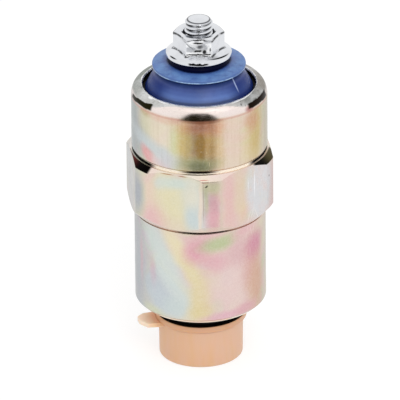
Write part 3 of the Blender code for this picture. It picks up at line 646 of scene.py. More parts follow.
# Soft patches of the passivated zinc. Each is its middle angle and height, half angle and half height,
# lean in millimetres for each degree, strength and display colour. Angles run from the front to the right.
BARREL_PATCHES = (
    # partly the zinc's tint, partly painted shade of the side turning away
    ("blue-grey side", -78, 45.0, 20, 10.0, 0.0, 0.95, (168, 178, 180)),
    ("blue-grey flank", -57, 44.2, 12, 2.6, 0.0, 0.85, (170, 173, 178)),
    ("yellow-green", -50, 47.4, 10, 2.6, 0.0, 0.75, (208, 208, 172)),
    ("pale yellow", -30, 46.2, 18, 4.6, 0.0, 0.75, (230, 218, 196)),
    ("blue fall", -40, 42.9, 32, 1.5, -0.055, 0.85, (200, 210, 212)),
    ("pink blotch", -50, 41.6, 7, 1.1, -0.05, 0.95, (226, 164, 162)),
    ("pink tail", -37, 40.9, 12, 0.6, -0.05, 0.6, (232, 196, 198)),
    ("yellow column", -19, 44.4, 6.5, 6.0, 0.0, 0.95, (210, 210, 166)),
    ("tan column", -11, 45.4, 7, 5.4, 0.0, 0.95, (224, 198, 132)),
    ("brown column", 1.5, 45.4, 6, 5.8, 0.0, 1.0, (190, 148, 76)),
    ("brown streak", 10.5, 45.6, 4.5, 5.0, 0.0, 0.85, (222, 180, 106)),
    ("ochre side", 18.0, 45.2, 5.0, 5.5, 0.0, 0.9, (216, 188, 138)),
    ("orange under the rim", 4, 48.0, 20, 1.3, 0.0, 0.85, (222, 160, 130)),
    ("blue-grey foot", -27, 41.3, 12, 1.4, 0.0, 0.8, (208, 208, 212)),
    ("green foot", 0, 41.2, 17, 1.2, 0.0, 0.8, (168, 174, 128)),
    ("dark foot", 1, 40.6, 8, 0.9, 0.0, 0.7, (124, 128, 94)),
    ("red under the rim", 2, 48.3, 9, 0.9, 0.0, 0.55, (176, 118, 92)),
    ("olive under the left wedge", -53, 49.1, 6, 0.7, 0.0, 0.7, (182, 162, 116)),
    ("pink left of the dome", -21, 49.4, 5, 0.7, 0.0, 0.6, (200, 160, 146)),
    ("pale pink", 30, 45.0, 10, 5.5, 0.0, 0.9, (228, 206, 188)),
    ("yellow side", 45, 43.6, 8, 4.0, 0.0, 0.7, (222, 206, 160)),
    ("tan side", 56, 45.0, 9, 6.0, 0.0, 0.95, (206, 183, 124)),
    ("orange shoulder", 50, 47.6, 8, 1.5, 0.0, 0.8, (210, 164, 134)),
    ("orange shoulder left", -30, 49.0, 22, 0.6, -0.01, 0.5, (224, 178, 158)),
    ("pale side", 82, 44.0, 14, 9.0, 0.0, 0.9, (200, 192, 164)),
)
HEXAGON_PATCHES = (
    ("grey-white flat", -84, 34.0, 21, 8.0, 0.0, 0.85, (204, 205, 206)),
    ("yellow corner", -54, 34.0, 6.5, 7.0, 0.0, 0.7, (208, 207, 178)),
    ("blue-grey corner", -56, 34.0, 6.5, 3.8, 0.0, 0.95, (172, 176, 184)),
    ("pink edge", -42, 34.5, 4.5, 4.5, 0.0, 0.75, (230, 204, 188)),
    ("pink foot", -38, 30.6, 9, 2.4, 0.0, 0.9, (228, 184, 186)),
    ("pale yellow", -24, 33.6, 13, 4.4, 0.0, 0.9, (228, 220, 182)),
    ("pale blue top", -19, 37.4, 15, 1.1, 0.0, 0.8, (206, 220, 214)),
    ("pale front", -6, 35.6, 6, 3.6, 0.0, 0.85, (226, 222, 204)),
    ("pale blue foot", -6, 31.0, 6.5, 2.3, 0.0, 0.85, (200, 213, 214)),
    # painted highlight along the edge of the front corner
    ("cream edge", 1.2, 33.6, 1.5, 6.5, 0.0, 0.8, (236, 218, 200)),
    ("pink corner", 10.4, 32.4, 5.4, 4.6, 0.0, 0.95, (222, 170, 178)),
    ("green corner", 11.5, 37.3, 8.5, 1.1, 0.0, 0.75, (204, 206, 164)),
    ("green line", 5.0, 35.4, 1.5, 2.4, 0.0, 0.7, (196, 196, 158)),
    ("green edge", 16.6, 33.6, 1.3, 5.5, 0.0, 0.7, (210, 202, 182)),
    ("pink flat", 25, 34.0, 8, 6.0, 0.0, 0.9, (228, 188, 184)),
    ("tan flat", 36, 35.0, 6, 4.5, 0.0, 0.8, (224, 204, 178)),
    ("orange smear", 39, 31.2, 5, 1.6, 0.06, 0.25, (232, 190, 150)),
    ("pink side", 71, 34.0, 8, 6.0, 0.0, 0.85, (222, 190, 188)),
)
SKIRT_PATCHES = (
    # partly the zinc's tint, partly painted shade of the side turning away
    ("blue-grey side", -74, 18.5, 27, 13.0, 0.0, 0.9, (180, 186, 194)),
    ("pink mark", -62, 20.6, 2.4, 3.4, -0.05, 0.6, (212, 176, 184)),
    ("low pink mark", -46, 18.6, 3.2, 2.4, -0.12, 0.7, (208, 174, 186)),
    ("blue foot", -38, 14.8, 15, 3.2, -0.08, 0.85, (194, 203, 210)),
    ("olive foot", -46, 11.7, 12, 0.9, -0.02, 0.7, (210, 212, 178)),
    ("pale cyan fall", -32, 21.4, 19, 3.6, -0.24, 0.85, (208, 219, 216)),
    ("cyan foot", -22, 13.4, 12, 1.6, 0.0, 0.75, (202, 214, 212)),
    ("pale blue top", -44, 25.6, 10, 2.6, 0.0, 0.7, (206, 216, 212)),
    ("yellow fall", -18.5, 24.0, 16, 2.6, -0.25, 0.9, (232, 220, 184)),
    ("yellow fall lower", -7.5, 20.0, 10, 2.4, -0.30, 0.95, (229, 216, 176)),
    ("yellow foot", 1, 15.2, 9, 4.2, 0.0, 0.95, (226, 211, 168)),
    ("low yellow foot", 2, 12.6, 10, 1.5, 0.0, 0.85, (224, 208, 158)),
    ("light pink", 30, 18.0, 21, 7.5, 0.0, 0.95, (230, 204, 200)),
    ("rose top", 38, 23.6, 17, 2.6, 0.0, 0.9, (220, 182, 184)),
    ("pink centre", 12, 22.2, 12, 1.8, 0.0, 0.9, (226, 178, 184)),
    ("strong pink", -3, 24.6, 11, 2.3, 0.03, 1.0, (226, 168, 180)),
    ("pink over green", 7, 27.3, 18, 0.7, 0.015, 0.75, (230, 186, 190)),
    ("green bar", 17, 25.8, 17, 1.25, 0.045, 1.0, (190, 197, 156)),
    ("rose side", 50, 19.6, 10, 4.0, 0.0, 0.85, (218, 172, 166)),
    ("magenta side", 56, 23.4, 10, 2.6, 0.0, 1.0, (212, 150, 166)),
    ("tan side", 58, 15.6, 11, 5.0, 0.0, 0.95, (214, 174, 152)),
    ("magenta foot", 22, 11.6, 18, 0.8, 0.02, 0.75, (226, 176, 192)),
    ("rose foot", 43, 12.0, 12, 1.2, 0.0, 0.85, (220, 172, 178)),
    ("pink top", 44, 27.0, 14, 1.0, 0.03, 0.85, (226, 184, 186)),
    ("pale side", 84, 18.0, 8, 10.0, 0.0, 0.7, (212, 200, 172)),
)
# Painted dark reflections, sharper than the patches: same values, with the softness of the edge before the
# colour.
DARK_REFLECTIONS = (
    ("red end of the right wedge", 47.5, 49.95, 4.5, 0.45, 0.0, 0.7, 0.6, (168, 84, 78)),
    ("red line under the dome", 2, 49.2, 14.0, 0.34, 0.0, 0.75, 0.6, (140, 84, 60)),
)
# Painted dark reflections in wedges on the rolled rim: start and end angle, lowest and highest height at
# each, and colour.
REFLECTION_WEDGES = (
    ("left wedge", -80.0, -45.0, (49.6, 50.3), (49.84, 50.84), (30, 27, 9)),
    ("right wedge", 46.5, 80.0, (49.9, 50.7), (49.66, 50.84), (28, 19, 11)),
)
# Grey of the rim's crest, by angle, darker towards the sides: partly rubbed zinc, partly painted reflection.
CREST_GREYS = (
    (-90, (150, 154, 148)), (-55, (196, 196, 194)), (30, (188, 185, 182)), (52, (130, 132, 129)),
    (90, (148, 142, 134)),
)
# Heights of the hexagon's ends and of the rim's foot, in millimetres, and the patches between them.
HEXAGON_FOOT = 27.95
HEXAGON_TOP = 39.5
RIM_FOOT = 49.4
ZINC_REGIONS = (
    (SKIRT_PATCHES, 0.0, HEXAGON_FOOT),
    (HEXAGON_PATCHES, HEXAGON_FOOT, HEXAGON_TOP),
    (BARREL_PATCHES, HEXAGON_TOP, 60.0),
)
PATCH_EDGE = 0.75
WANDER_ANGLE = 9.0
WANDER_HEIGHT = 1.6


def patch_mask(finish, angle, height, values, low, high, edge=PATCH_EDGE):
    """Mask of one soft patch between two heights."""
    given = (angle, height, *values, edge, low, high)
    return finish.made("ShaderNodeGroup", *given, node_tree=patch_group())


def lay_patches(finish, rows, across, up, low, high, within):
    """Lay the patches of a table over the finish, only within a mask."""
    for name, *values, strength, edge, shade in rows:
        mask = patch_mask(finish, across, up, values, low, high, edge)
        finish.paint(mask if within is None else mask * within, shade, strength)


def zinc_colour(finish, colours):
    """Interference colours of the passivated zinc, from the skirt up to the rolled rim."""
    angle, height, radius = finish.polar()
    finish.tint = finish.ramp(
        finish.noise(75.0, detail=2.0, distortion=0.6),
        (0.28, (188, 194, 202)),
        (0.38, (206, 219, 219)),
        (0.46, (225, 216, 186)),
        (0.54, (226, 198, 194)),
        (0.61, (206, 210, 178)),
        (0.68, (222, 178, 190)),
        (0.78, (214, 184, 162)),
    )
    finish.paint(0.3, colours.zinc_pale)
    moved_angle = (finish.noise(140.0) - 0.5).scaled(WANDER_ANGLE, angle)
    moved_height = (finish.noise(170.0, stretch=(1.0, 1.3)) - 0.5).scaled(WANDER_HEIGHT, height)
    for patches, low, high in ZINC_REGIONS:
        inside = (height > low) * (height < high)
        for name, *values, strength, shade in patches:
            mask = patch_mask(finish, moved_angle, moved_height, values, -100.0, 100.0)
            finish.paint(mask * inside, shade, strength)
    finish.paint(height.step(RIM_FOOT, RIM_FOOT + 0.6), (243, 230, 227), 0.85)
    finish.paint(height.step(RIM_FOOT - 0.3, RIM_FOOT) * height.step(49.75, 49.45), (206, 150, 138), 0.55)


def rim_wear_and_painted_light(finish, colours):
    """Rolled rim rubbed grey, widest at the sides, the grey partly wear and partly painted reflection, with
    pits and a painted highlight on the inner edge. Gives the worn mask.
    """
    angle, height, radius = finish.polar()
    above = height.step(RIM_FOOT + 0.5, RIM_FOOT + 1.0)
    uneven = finish.shake(380.0, 0.3)
    reach = abs(angle).step(20.0, 46.0).scaled(0.8, 10.66) + uneven
    grey = (reach - radius).step(-0.1, 0.14) * above
    stops = [((degrees_right + 90) / 180, shade) for degrees_right, shade in CREST_GREYS]
    # grey by angle, darker at the sides: partly rubbed zinc, partly painted reflection
    finish.paint(grey, finish.ramp(angle.scaled(1 / 180, 0.5), *stops))
    finish.paint(finish.noise(260.0, detail=5.0).step(0.42, 0.7, 0.0, 0.45) * grey, colours.rim_grey)
    pits = finish.noise(1500.0).step(0.6, 0.66) * grey
    deep = angle.between(42.0, 66.0, 14.0).scaled(0.6, 0.2)
    finish.paint(pits * deep, (58, 56, 54))
    # painted highlight: a white line along the lip's inner edge
    highlight_reach = uneven.scaled(0.9, abs(angle).step(40.0, 80.0, 10.5, 9.98))
    edge = (highlight_reach - radius).step(-0.05, 0.05) * height.step(51.1, 51.2)
    finish.paint(edge * finish.noise(800.0).step(0.4, 0.5, 0.45, 1.0), (254, 254, 254))
    return radius.step(11.42, 11.18) * above


def wedge_mask(finish, start, end, at_start, at_end):
    """Mask between two angles and between a lower and an upper line, with ragged edges."""
    angle, height, radius = finish.polar()
    ragged = finish.shake(620.0, 0.5, detail=4.0)
    along = (angle - start) * (1 / (end - start))
    low = along.scaled(at_end[0] - at_start[0], at_start[0])
    high = along.scaled(at_end[1] - at_start[1], at_start[1])
    shaken = height + ragged
    inside = (shaken - low).step(-0.14, 0.1) * (high - shaken).step(-0.06, 0.1)
    return ragged.scaled(6.0, angle).between(start + 1.5, end - 1.5, 3.0) * inside


def painted_reflections_and_shade(finish):
    """Painted dark reflections on the rim and on the hexagon's chamfers, and painted shade in the bore behind
    the lip.
    """
    angle, height, radius = finish.polar()
    lay_patches(finish, DARK_REFLECTIONS, angle, height, 48.0, 60.0, within=None)
    for name, *values, shade in REFLECTION_WEDGES:
        finish.paint(wedge_mask(finish, *values), shade)
    # painted dark reflections on the corners of the hexagon's upper chamfer
    on_chamfer = height.between(36.5, 39.45, 0.1) * radius.step(11.85, 12.0)
    up = finish.facing()[2].step(0.3, 0.55) * on_chamfer
    maroon = finish.ramp(angle.step(-74.0, -52.0), (0.0, (88, 32, 28)), (1.0, (5, 3, 3)))
    finish.paint(up * angle.between(-84.0, -45.0, 3.0), maroon)
    olive = finish.ramp(angle.step(56.0, 78.0), (0.0, (5, 4, 3)), (1.0, (72, 64, 34)))
    finish.paint(up * angle.between(52.0, 84.0, 4.0), olive)
    # painted shade in the bore behind the lip
    finish.paint(radius.step(9.86, 9.78) * height.between(50.0, 51.1, 0.1), (24, 21, 19))


def painted_edge_light_and_shade(finish):
    """Pale lines of painted highlight and black lines of painted shade at the grooves and milled edges. Gives
    the mask of the matt pale ones.
    """
    angle, height, radius = finish.polar()
    facing = finish.facing()[2]
    cut_in = radius.step(11.69, 11.6)
    groove = height.between(39.22, 39.62, 0.05) * cut_in
    black = height.between(39.42, 39.7, 0.08) * cut_in * angle.between(-6.0, 5.0, 15.0)
    black = black | groove * abs(angle - 3.0).step(42.0, 52.0)
    # painted highlight on the upward-facing upper chamfer
    finish.paint(height.between(38.6, 39.4, 0.2) * facing.step(0.3, 0.6), (252, 238, 228), 0.4)
    # painted highlights, pale and matt: edges facing down to the floor under the hexagon and at the skirt's
    # foot, and the groove's floor
    under = facing.step(-0.3, -0.5) * height.between(28.1, 30.2, 0.1)
    foot = facing.step(-0.15, -0.4) * height.between(10.2, 10.8, 0.12)
    pale = (groove | foot) * (1.0 - black)
    finish.paint(pale, (254, 244, 228))
    finish.paint(under, (250, 232, 220), 0.3)
    # painted shade: black in the groove over the hexagon, at the front and the sides
    finish.paint(black, (6, 5, 5))
    # painted shade in the groove under the hexagon, darkest at the front
    shade = finish.ramp(angle.between(-9.0, 16.0, 22.0), (0.0, (186, 150, 130)), (1.0, (10, 10, 8)))
    finish.paint(height.between(27.8, 28.25, 0.04) * radius.step(11.32, 11.24), shade)
    return pale | under


# Fine marks: middle angle and height, half angle, half height, lean in millimetres for each degree
# and colour.
MARKS = (
    ("white scratch", 50.0, 35.6, 0.35, 2.2, 0.0, (250, 250, 252)),
    ("second scratch", 43.5, 36.0, 0.25, 1.2, 0.0, (244, 244, 246)),
    ("low scratch", 48.0, 30.4, 2.2, 0.1, 0.6, (248, 242, 238)),
    ("lower scratch", 52.0, 29.8, 2.4, 0.1, -0.55, (248, 242, 238)),
    ("foot scratch", 44.0, 29.6, 1.8, 0.09, 0.7, (248, 240, 236)),
    ("skirt scratch", 45.5, 26.9, 1.6, 0.09, 0.8, (248, 232, 230)),
    ("next skirt scratch", 50.0, 26.6, 1.8, 0.09, -0.7, (248, 232, 230)),
    ("third skirt scratch", 54.0, 26.9, 1.4, 0.09, 0.6, (248, 232, 230)),
    ("nick", 4.9, 37.62, 0.95, 0.17, 0.16, (14, 10, 8)),
    ("nick's tail", 4.2, 37.5, 0.5, 0.09, 0.1, (90, 70, 60)),
    ("speck", 66.0, 36.0, 0.6, 0.2, 0.0, (60, 48, 44)),
    ("brown dash", -27.5, 38.98, 5.0, 0.09, 0.0, (176, 122, 76)),
    ("second brown dash", -14.5, 38.96, 3.5, 0.09, 0.0, (168, 118, 78)),
    ("pink dash", 3.0, 38.7, 3.6, 0.06, 0.0, (206, 138, 120)),
    ("second pink dash", 4.0, 38.35, 3.4, 0.06, 0.0, (204, 136, 120)),
    ("bright chip", -52.5, 51.45, 3.2, 0.12, 0.0, (255, 255, 255)),
    ("edge line", 2.5, 34.6, 0.22, 3.6, 0.0, (186, 160, 140)),
    ("pale speck", 1.2, 43.6, 0.25, 0.12, 0.0, (250, 236, 200)),
    ("second pale speck", 6.0, 43.4, 0.25, 0.12, 0.0, (250, 236, 200)),
    ("low pale speck", 8.2, 41.2, 0.22, 0.4, 0.0, (240, 224, 180)),
)


def scratched(finish):
    """Lay the fine scratches, nicks and specks over the finish."""
    angle, height, radius = finish.polar()
    shaken = (finish.noise(1300.0, detail=2.0) - 0.5).scaled(0.9, angle)
    for name, *values, shade in MARKS:
        lowest = 27.0 if values[1] > 28.0 else 20.0
        finish.paint(patch_mask(finish, shaken, height, values, lowest, 60.0, edge=0.5), shade, 0.85)


def zinc_yellow(colours):
    """Yellow passivated zinc on turned and milled steel."""
    finish = Finish("zinc_yellow", 0.2, metallic=1.0)
    angle, height, radius = finish.polar()
    zinc_colour(finish, colours)
    worn = rim_wear_and_painted_light(finish, colours)
    scuff_area = patch_mask(finish, angle, height, (56, 34.8, 14, 6.4, 0.0), 28.4, 39.4, edge=0.35)
    ragged = finish.noise(700.0, detail=5.0, roughness=0.65, stretch=(1.0, 0.5))
    scuff = scuff_area * ragged.step(0.25, 0.6, 0.35, 1.0)
    finish.paint(scuff, (218, 219, 222), 0.95)
    streaks = finish.noise(1.0, roughness=0.6, stretch=(2600.0, 90.0)).step(0.45, 0.7, 0.0, 0.2)
    finish.paint(streaks * height.between(39.8, 49.2, 0.3), (214, 204, 186), blend="MULTIPLY")
    finish.paint(finish.noise(2600.0, detail=2.0).step(0.3, 0.75, 0.0, 0.1), (255, 252, 246))
    finish.set("Metallic", painted_edge_light_and_shade(finish).scaled(-0.85, 1.0))
    painted_reflections_and_shade(finish)
    scratched(finish)
    finish.set("Specular Tint", linear((230, 230, 230)))
    rough = finish.noise(420.0, detail=4.0).step(0.3, 0.75, 0.13, 0.26)
    finish.set("Roughness", scuff.scaled(0.2, worn.scaled(0.24, rough)))
    finish.relief(finish.noise(1.0, detail=4.0, roughness=0.7, stretch=(60.0, 5200.0)), 0.35, 0.003 * MM)
    finish.relief(finish.noise(1500.0).step(0.6, 0.7) * worn, 0.9, -0.05 * MM)
    finish.relief(ragged, 0.3, 0.004 * MM)
    return finish.done()


def painted_nut_crease_shade_and_edges(finish, sizes):
    """Mask of painted shade in the creases where the nut's flats meet its flange and of dark lines along the
    edges of its upper chamfer.
    """
    angle, height, radius = finish.polar()
    side = finish.math("WRAP", angle, 30.0, -30.0) * (pi / 180)
    flat = sizes.nut_flats / 2 / MM / finish.math("COSINE", side)
    beside = abs(radius - flat)
    slope = sizes.flange_rise / (sizes.flange_radius - sizes.nut_flats / 2)
    foot = (sizes.flange_radius / MM - flat).scaled(slope, (NUT_LOW.z + sizes.flange_rim) / MM)
    head = (flat - sizes.nut_top / MM).scaled(-tan(sizes.nut_chamfer), NUT_HIGH.z / MM)
    near_corner = abs(side).step(0.2, 0.5, 0.0, 0.14)
    crease = (abs(height - foot) + beside).step(near_corner + 0.36, 0.12)
    return crease | (abs(height - head) + beside).step(near_corner + 0.32, 0.12)


def stud_ring_and_painted_shade(finish, sizes):
    """Dark ring round the stud's tip, and painted shade in the thread's gaps, deepest at the sides."""
    angle, height, radius = finish.polar()
    tip = (sizes.stud_radius - sizes.stud_chamfer) / MM
    finish.paint(abs(radius - tip).step(0.2, 0.06) * (height > STUD_HIGH.z / MM - 0.25), (52, 54, 58), 0.85)
    crest, root = sizes.stud_radius / MM, (sizes.stud_radius - sizes.stud_depth) / MM
    groove = radius.step(crest - 0.14, root) * radius.step(0.9 * root, root)
    groove = groove * (height < STUD_HIGH.z / MM - 0.45)
    # painted shade in the thread's gaps, deepest at the sides
    finish.paint(groove * abs(angle).step(10.0, 42.0, 0.3, 1.0), (26, 27, 30))


# Painted reflections on the nut's front face: middle across and up in millimetres, half width, half height,
# lean, strength, softness of the edge and colour.
FACE_REFLECTIONS = (
    ("dark cloud", 0.1, 59.5, 1.3, 0.95, 0.0, 0.4, 0.8, (104, 106, 110)),
    ("top arc", -0.5, 61.0, 1.1, 0.16, 0.0, 1.0, 0.3, (8, 9, 11)),
    ("top arc, left", -1.75, 60.85, 0.6, 0.1, 0.18, 0.9, 0.4, (50, 52, 56)),
    ("top arc, right", 1.2, 60.95, 0.45, 0.12, 0.0, 0.9, 0.4, (40, 42, 46)),
    ("dark bar", -0.1, 60.45, 0.85, 0.17, 0.0, 1.0, 0.3, (8, 9, 11)),
    ("left smear", -1.7, 59.95, 0.75, 0.14, -0.9, 0.7, 0.5, (90, 92, 96)),
    ("middle blot", 0.2, 59.75, 0.45, 0.3, 0.0, 0.8, 0.5, (40, 41, 45)),
    ("low blot", -0.15, 59.0, 0.7, 0.2, 0.1, 1.0, 0.3, (8, 9, 11)),
    ("low blot beside", 0.95, 58.8, 0.32, 0.36, 0.0, 1.0, 0.3, (8, 9, 11)),
    ("foot line", -0.6, 58.3, 2.2, 0.13, 0.0, 1.0, 0.3, (14, 15, 18)),
    ("foot line, right", 1.6, 58.33, 0.5, 0.13, 0.0, 1.0, 0.3, (20, 21, 24)),
    ("right tick", 1.95, 59.2, 0.13, 0.36, 0.0, 0.9, 0.4, (50, 52, 56)),
)
# Painted reflections on the nut's flange: middle angle and radius, half angle, half width, lean, strength,
# edge and colour.
FLANGE_REFLECTIONS = (
    ("right gleam", 46.0, 5.12, 24.0, 0.15, 0.008, 1.0, 0.4, (12, 13, 15)),
    ("left gleam", -55.5, 5.42, 9.5, 0.13, 0.0, 1.0, 0.4, (12, 13, 15)),
    ("right shade", 30.0, 4.7, 12.0, 0.3, 0.0, 0.5, 0.7, (120, 122, 126)),
)


def nut_painted_reflections(finish, front):
    """Painted reflections on the nut: its front face pale and mottled grey with dark marks, dark gleams on
    the flange and the flange's dark front edge.
    """
    angle, height, radius = finish.polar()
    across = finish.split(finish.place)[0] / MM
    # painted reflection: the flat that faces the front is painted pale, then mottled grey
    finish.paint(front, (250, 251, 252))
    uneven = finish.noise(700.0, detail=4.0, stretch=(1.0, 1.6))
    finish.paint(uneven.step(0.44, 0.62, 0.0, 0.8) * front, (168, 171, 177))
    shaken = height + finish.shake(1700.0, 0.36)
    lay_patches(finish, FACE_REFLECTIONS, across, shaken, 57.6, 61.3, within=front)
    on_flange = (height < 58.0) * (height > 57.25)
    lay_patches(finish, FLANGE_REFLECTIONS, angle, radius, 4.0, 6.0, within=on_flange)
    # painted dark reflection along the front of the flange's rim
    rim = radius.step(5.3, 5.45) * across.between(-1.5, 1.3, 0.5)
    finish.paint(rim * shaken.between(57.02, 57.3, 0.06), (14, 14, 16))


def zinc_bright(colours, sizes):
    """Clear bright zinc of the nut and stud."""
    finish = Finish("zinc_bright", 0.16, metallic=1.0, tint=colours.bright)
    angle, height, radius = finish.polar()
    on_flat = (height > (NUT_LOW.z + sizes.flange_rim) / MM) * radius.step(3.7, 3.85)
    # the flat that faces the front, which carries painted reflections
    front = finish.facing()[1].step(-0.9, -0.98) * on_flat
    finish.paint(finish.noise(500.0).step(0.4, 0.7, 0.0, 0.35), (205, 206, 210))
    # painted shade in the nut's creases, and dark lines along its chamfer's edges
    finish.paint(painted_nut_crease_shade_and_edges(finish, sizes) * finish.noise(900.0).step(0.4, 0.5, 0.25, 1.0), (26, 27, 30), 0.92)
    nut_painted_reflections(finish, front)
    stud_ring_and_painted_shade(finish, sizes)
    # the front face is made matt to carry its painted reflections
    finish.set("Metallic", front.scaled(-0.85, 1.0))
    finish.set("Roughness", finish.noise(1200.0).step(0.3, 0.8, 0.1, 0.24))
    finish.relief(finish.noise(1600.0), 0.5, 0.01 * MM)
    return finish.done()


# Height of the shed's underside, in millimetres.
SHED_FOOT = 54.65


def blue_moulding(colours):
    """Glass-filled blue plastic, with painted shade down the cone, under the nut and in the gap at the rim,
    and a painted highlight along the shed's edge.
    """
    finish = Finish("blue_moulding", 0.36, tint=colours.blue)
    angle, height, radius = finish.polar()
    finish.paint(finish.noise(420.0, detail=5.0, roughness=0.65).step(0.38, 0.64, 0.0, 0.8), (96, 138, 194))
    finish.paint(finish.noise(700.0, detail=4.0).step(0.5, 0.68, 0.0, 0.5), (54, 86, 150))
    on_cone = height < SHED_FOOT
    # painted shade down the cone: dark under the shed and at the foot by the rim, lighter between
    down = finish.ramp(
        height.scaled(-0.25, 13.7),
        (0.0, (5, 12, 48)),
        (0.15, (12, 24, 80)),
        (0.24, (26, 40, 100)),
        (0.375, (44, 64, 134)),
        (0.55, (64, 90, 160)),
        (0.7, (84, 114, 182)),
        (0.8, (80, 106, 170)),
        (0.88, (38, 56, 104)),
    )
    finish.paint(on_cone, down, 0.86)
    mottled = finish.noise(300.0, detail=5.0, roughness=0.6).step(0.36, 0.62, 0.0, 0.4)
    finish.paint(mottled, (204, 208, 218), blend="MULTIPLY")
    shed_wall = radius.step(7.9, 8.0) * height.between(SHED_FOOT + 0.19, SHED_FOOT + 0.49, 0.05)
    finish.paint(shed_wall, (70, 98, 156), 0.7)
    # painted shade on the cone's flanks, darker away from the front
    painted_flank_shade = abs(angle).step(30.0, 56.0, 0.0, 0.8) * (radius.step(7.4, 8.1) * on_cone)
    finish.paint(painted_flank_shade, colours.blue_flank_shade)
    # painted shade under the shed at the front of the cone
    middle = angle.between(-3.0, 2.0, 12.0) * height.step(53.2, 53.9) * on_cone
    finish.paint(middle, (26, 42, 104), 0.55)
    # painted highlight along the shed's lower edge
    line = radius.step(7.82, 7.98) * height.between(SHED_FOOT + 0.05, SHED_FOOT + 0.17, 0.06)
    finish.paint(line * finish.noise(700.0).step(0.4, 0.58, 0.15, 1.0), (156, 186, 222))
    scratch = patch_mask(finish, angle, height, (51.0, 53.2, 1.2, 1.0, -0.55), 50.8, 54.4, edge=0.4)
    finish.paint(scratch, (176, 192, 230), 0.65)
    on_top = height.step(SHED_FOOT - 0.05, SHED_FOOT + 0.05)
    # painted shadow of the nut on the shed round it
    finish.paint(radius.step(6.7, 5.6) * on_top, (46, 66, 138), 0.55)
    # painted shadow right under the nut's flange
    painted_nut_shadow = (abs(angle).step(14.0, 60.0, 6.05, 5.8) - radius).step(0.0, 0.5) * on_top
    finish.paint(painted_nut_shadow, (5, 9, 40))
    # painted shade in the gap between the cone and the rim
    painted_gap_shade = radius.step(9.15, 9.35)
    finish.paint(painted_gap_shade, (8, 8, 12))
    cone_head = height.step(53.2, 54.1, 0.0, 0.95) * on_cone
    # less specular where shade is painted
    dark = painted_nut_shadow | painted_gap_shade | cone_head | painted_flank_shade
    finish.set("Specular IOR Level", dark.scaled(-0.42, 0.45))
    finish.set("Roughness", finish.noise(1400.0).step(0.3, 0.8, 0.3, 0.46))
    finish.relief(finish.noise(1500.0, detail=4.0), 0.5, 0.03 * MM)
    return finish.done()


def peach_plastic(colours):
    """Soft peach plastic, deeper where it is thick, with painted shade on the collar and at the tab's root,
    and painted shadow on its mouth under the seal.
    """
    finish = Finish("peach_plastic", 0.4, tint=colours.peach)
    angle, height, radius = finish.polar()
    finish.paint(finish.noise(1.0, stretch=(420.0, 60.0)).step(0.35, 0.65, 0.0, 0.7), colours.peach_pink)
    on_wall = radius.step(8.1, 8.0)
    # painted shade on the collar under the housing's skirt
    finish.paint(height.step(6.8, 7.4) * on_wall, (204, 152, 112), 0.5)
    finish.paint(height.between(6.8, 7.1, 0.25) * on_wall, (214, 150, 96), 0.3)
    on_tab = radius.step(8.0, 8.25)
    finish.paint(on_tab, (248, 214, 180), 0.85)
    # partly thicker plastic, partly painted shade at the tab's root
    finish.paint(radius.step(9.4, 8.3) * on_tab, colours.peach_thick_and_shade, 0.6)
    finish.paint(radius.step(9.2, 10.6), colours.peach_pale, 0.85)
    mouth = CAP_HIGH.z / MM
    # painted shadow on the cap's mouth, under the seal and the skirt
    painted_mouth_shade = radius.step(7.86, 7.7) * height.step(mouth - 0.14, mouth - 0.06)
    finish.paint(painted_mouth_shade, (20, 14, 10))
    finish.set("Subsurface Weight", (1.0 - painted_mouth_shade) * 0.35)
    finish.set("Specular IOR Level", painted_mouth_shade.scaled(-0.4, 0.45))
    finish.set("Subsurface Scale", 1.2 * MM)
    finish.set("Subsurface Radius", (1.0, 0.55, 0.3))
    finish.relief(finish.noise(900.0), 0.15, 0.02 * MM)
    return finish.done()


def black_rubber(colours):
    """Moulded black rubber of the seals."""
    finish = Finish("black_rubber", 0.5, tint=colours.rubber)
    finish.set("Specular IOR Level", 0.12)
    dust = finish.noise(1800.0)
    finish.paint(dust.step(0.55, 0.85, 0.0, 0.3), (30, 29, 28))
    finish.relief(dust, 0.2, 0.01 * MM)
    return finish.done()


def plain_metal(name, tint, dark, roughness, across, along):
    """Turned, drawn or rolled metal inside the housing, with its lines across or along Z."""
    finish = Finish(name, roughness, metallic=1.0, tint=tint)
    lines = finish.noise(1.0, detail=4.0, roughness=0.7, stretch=(across, along))
    finish.paint(lines.step(0.35, 0.8), dark)
    finish.relief(lines, 0.3, 0.005 * MM)
    return finish.done()


def plain_moulding(name, tint, dark, roughness, scale):
    """Plastic, fibre or tape inside the housing."""
    finish = Finish(name, roughness, tint=tint)
    cloud = finish.noise(scale, detail=4.0)
    finish.paint(cloud.step(0.35, 0.75), dark)
    finish.relief(cloud, 0.25, 0.01 * MM)
    return finish.done()


def copper_winding():
    """Enamelled copper wire laid turn by turn, with a painted highlight on each turn's crown and painted
    shade between turns.
    """
    finish = Finish("copper_winding", 0.28, metallic=1.0, tint=(120, 58, 30))
    angle, height, radius = finish.polar()
    # painted highlight on each turn's crown, painted shade between turns
    crown = abs(finish.math("SINE", height.scaled(1 / WIRE_PITCH, angle / 360.0) * pi))
    finish.paint(crown, (206, 120, 78))
    finish.relief(crown, 1.0, 0.12 * MM)
    return finish.done()


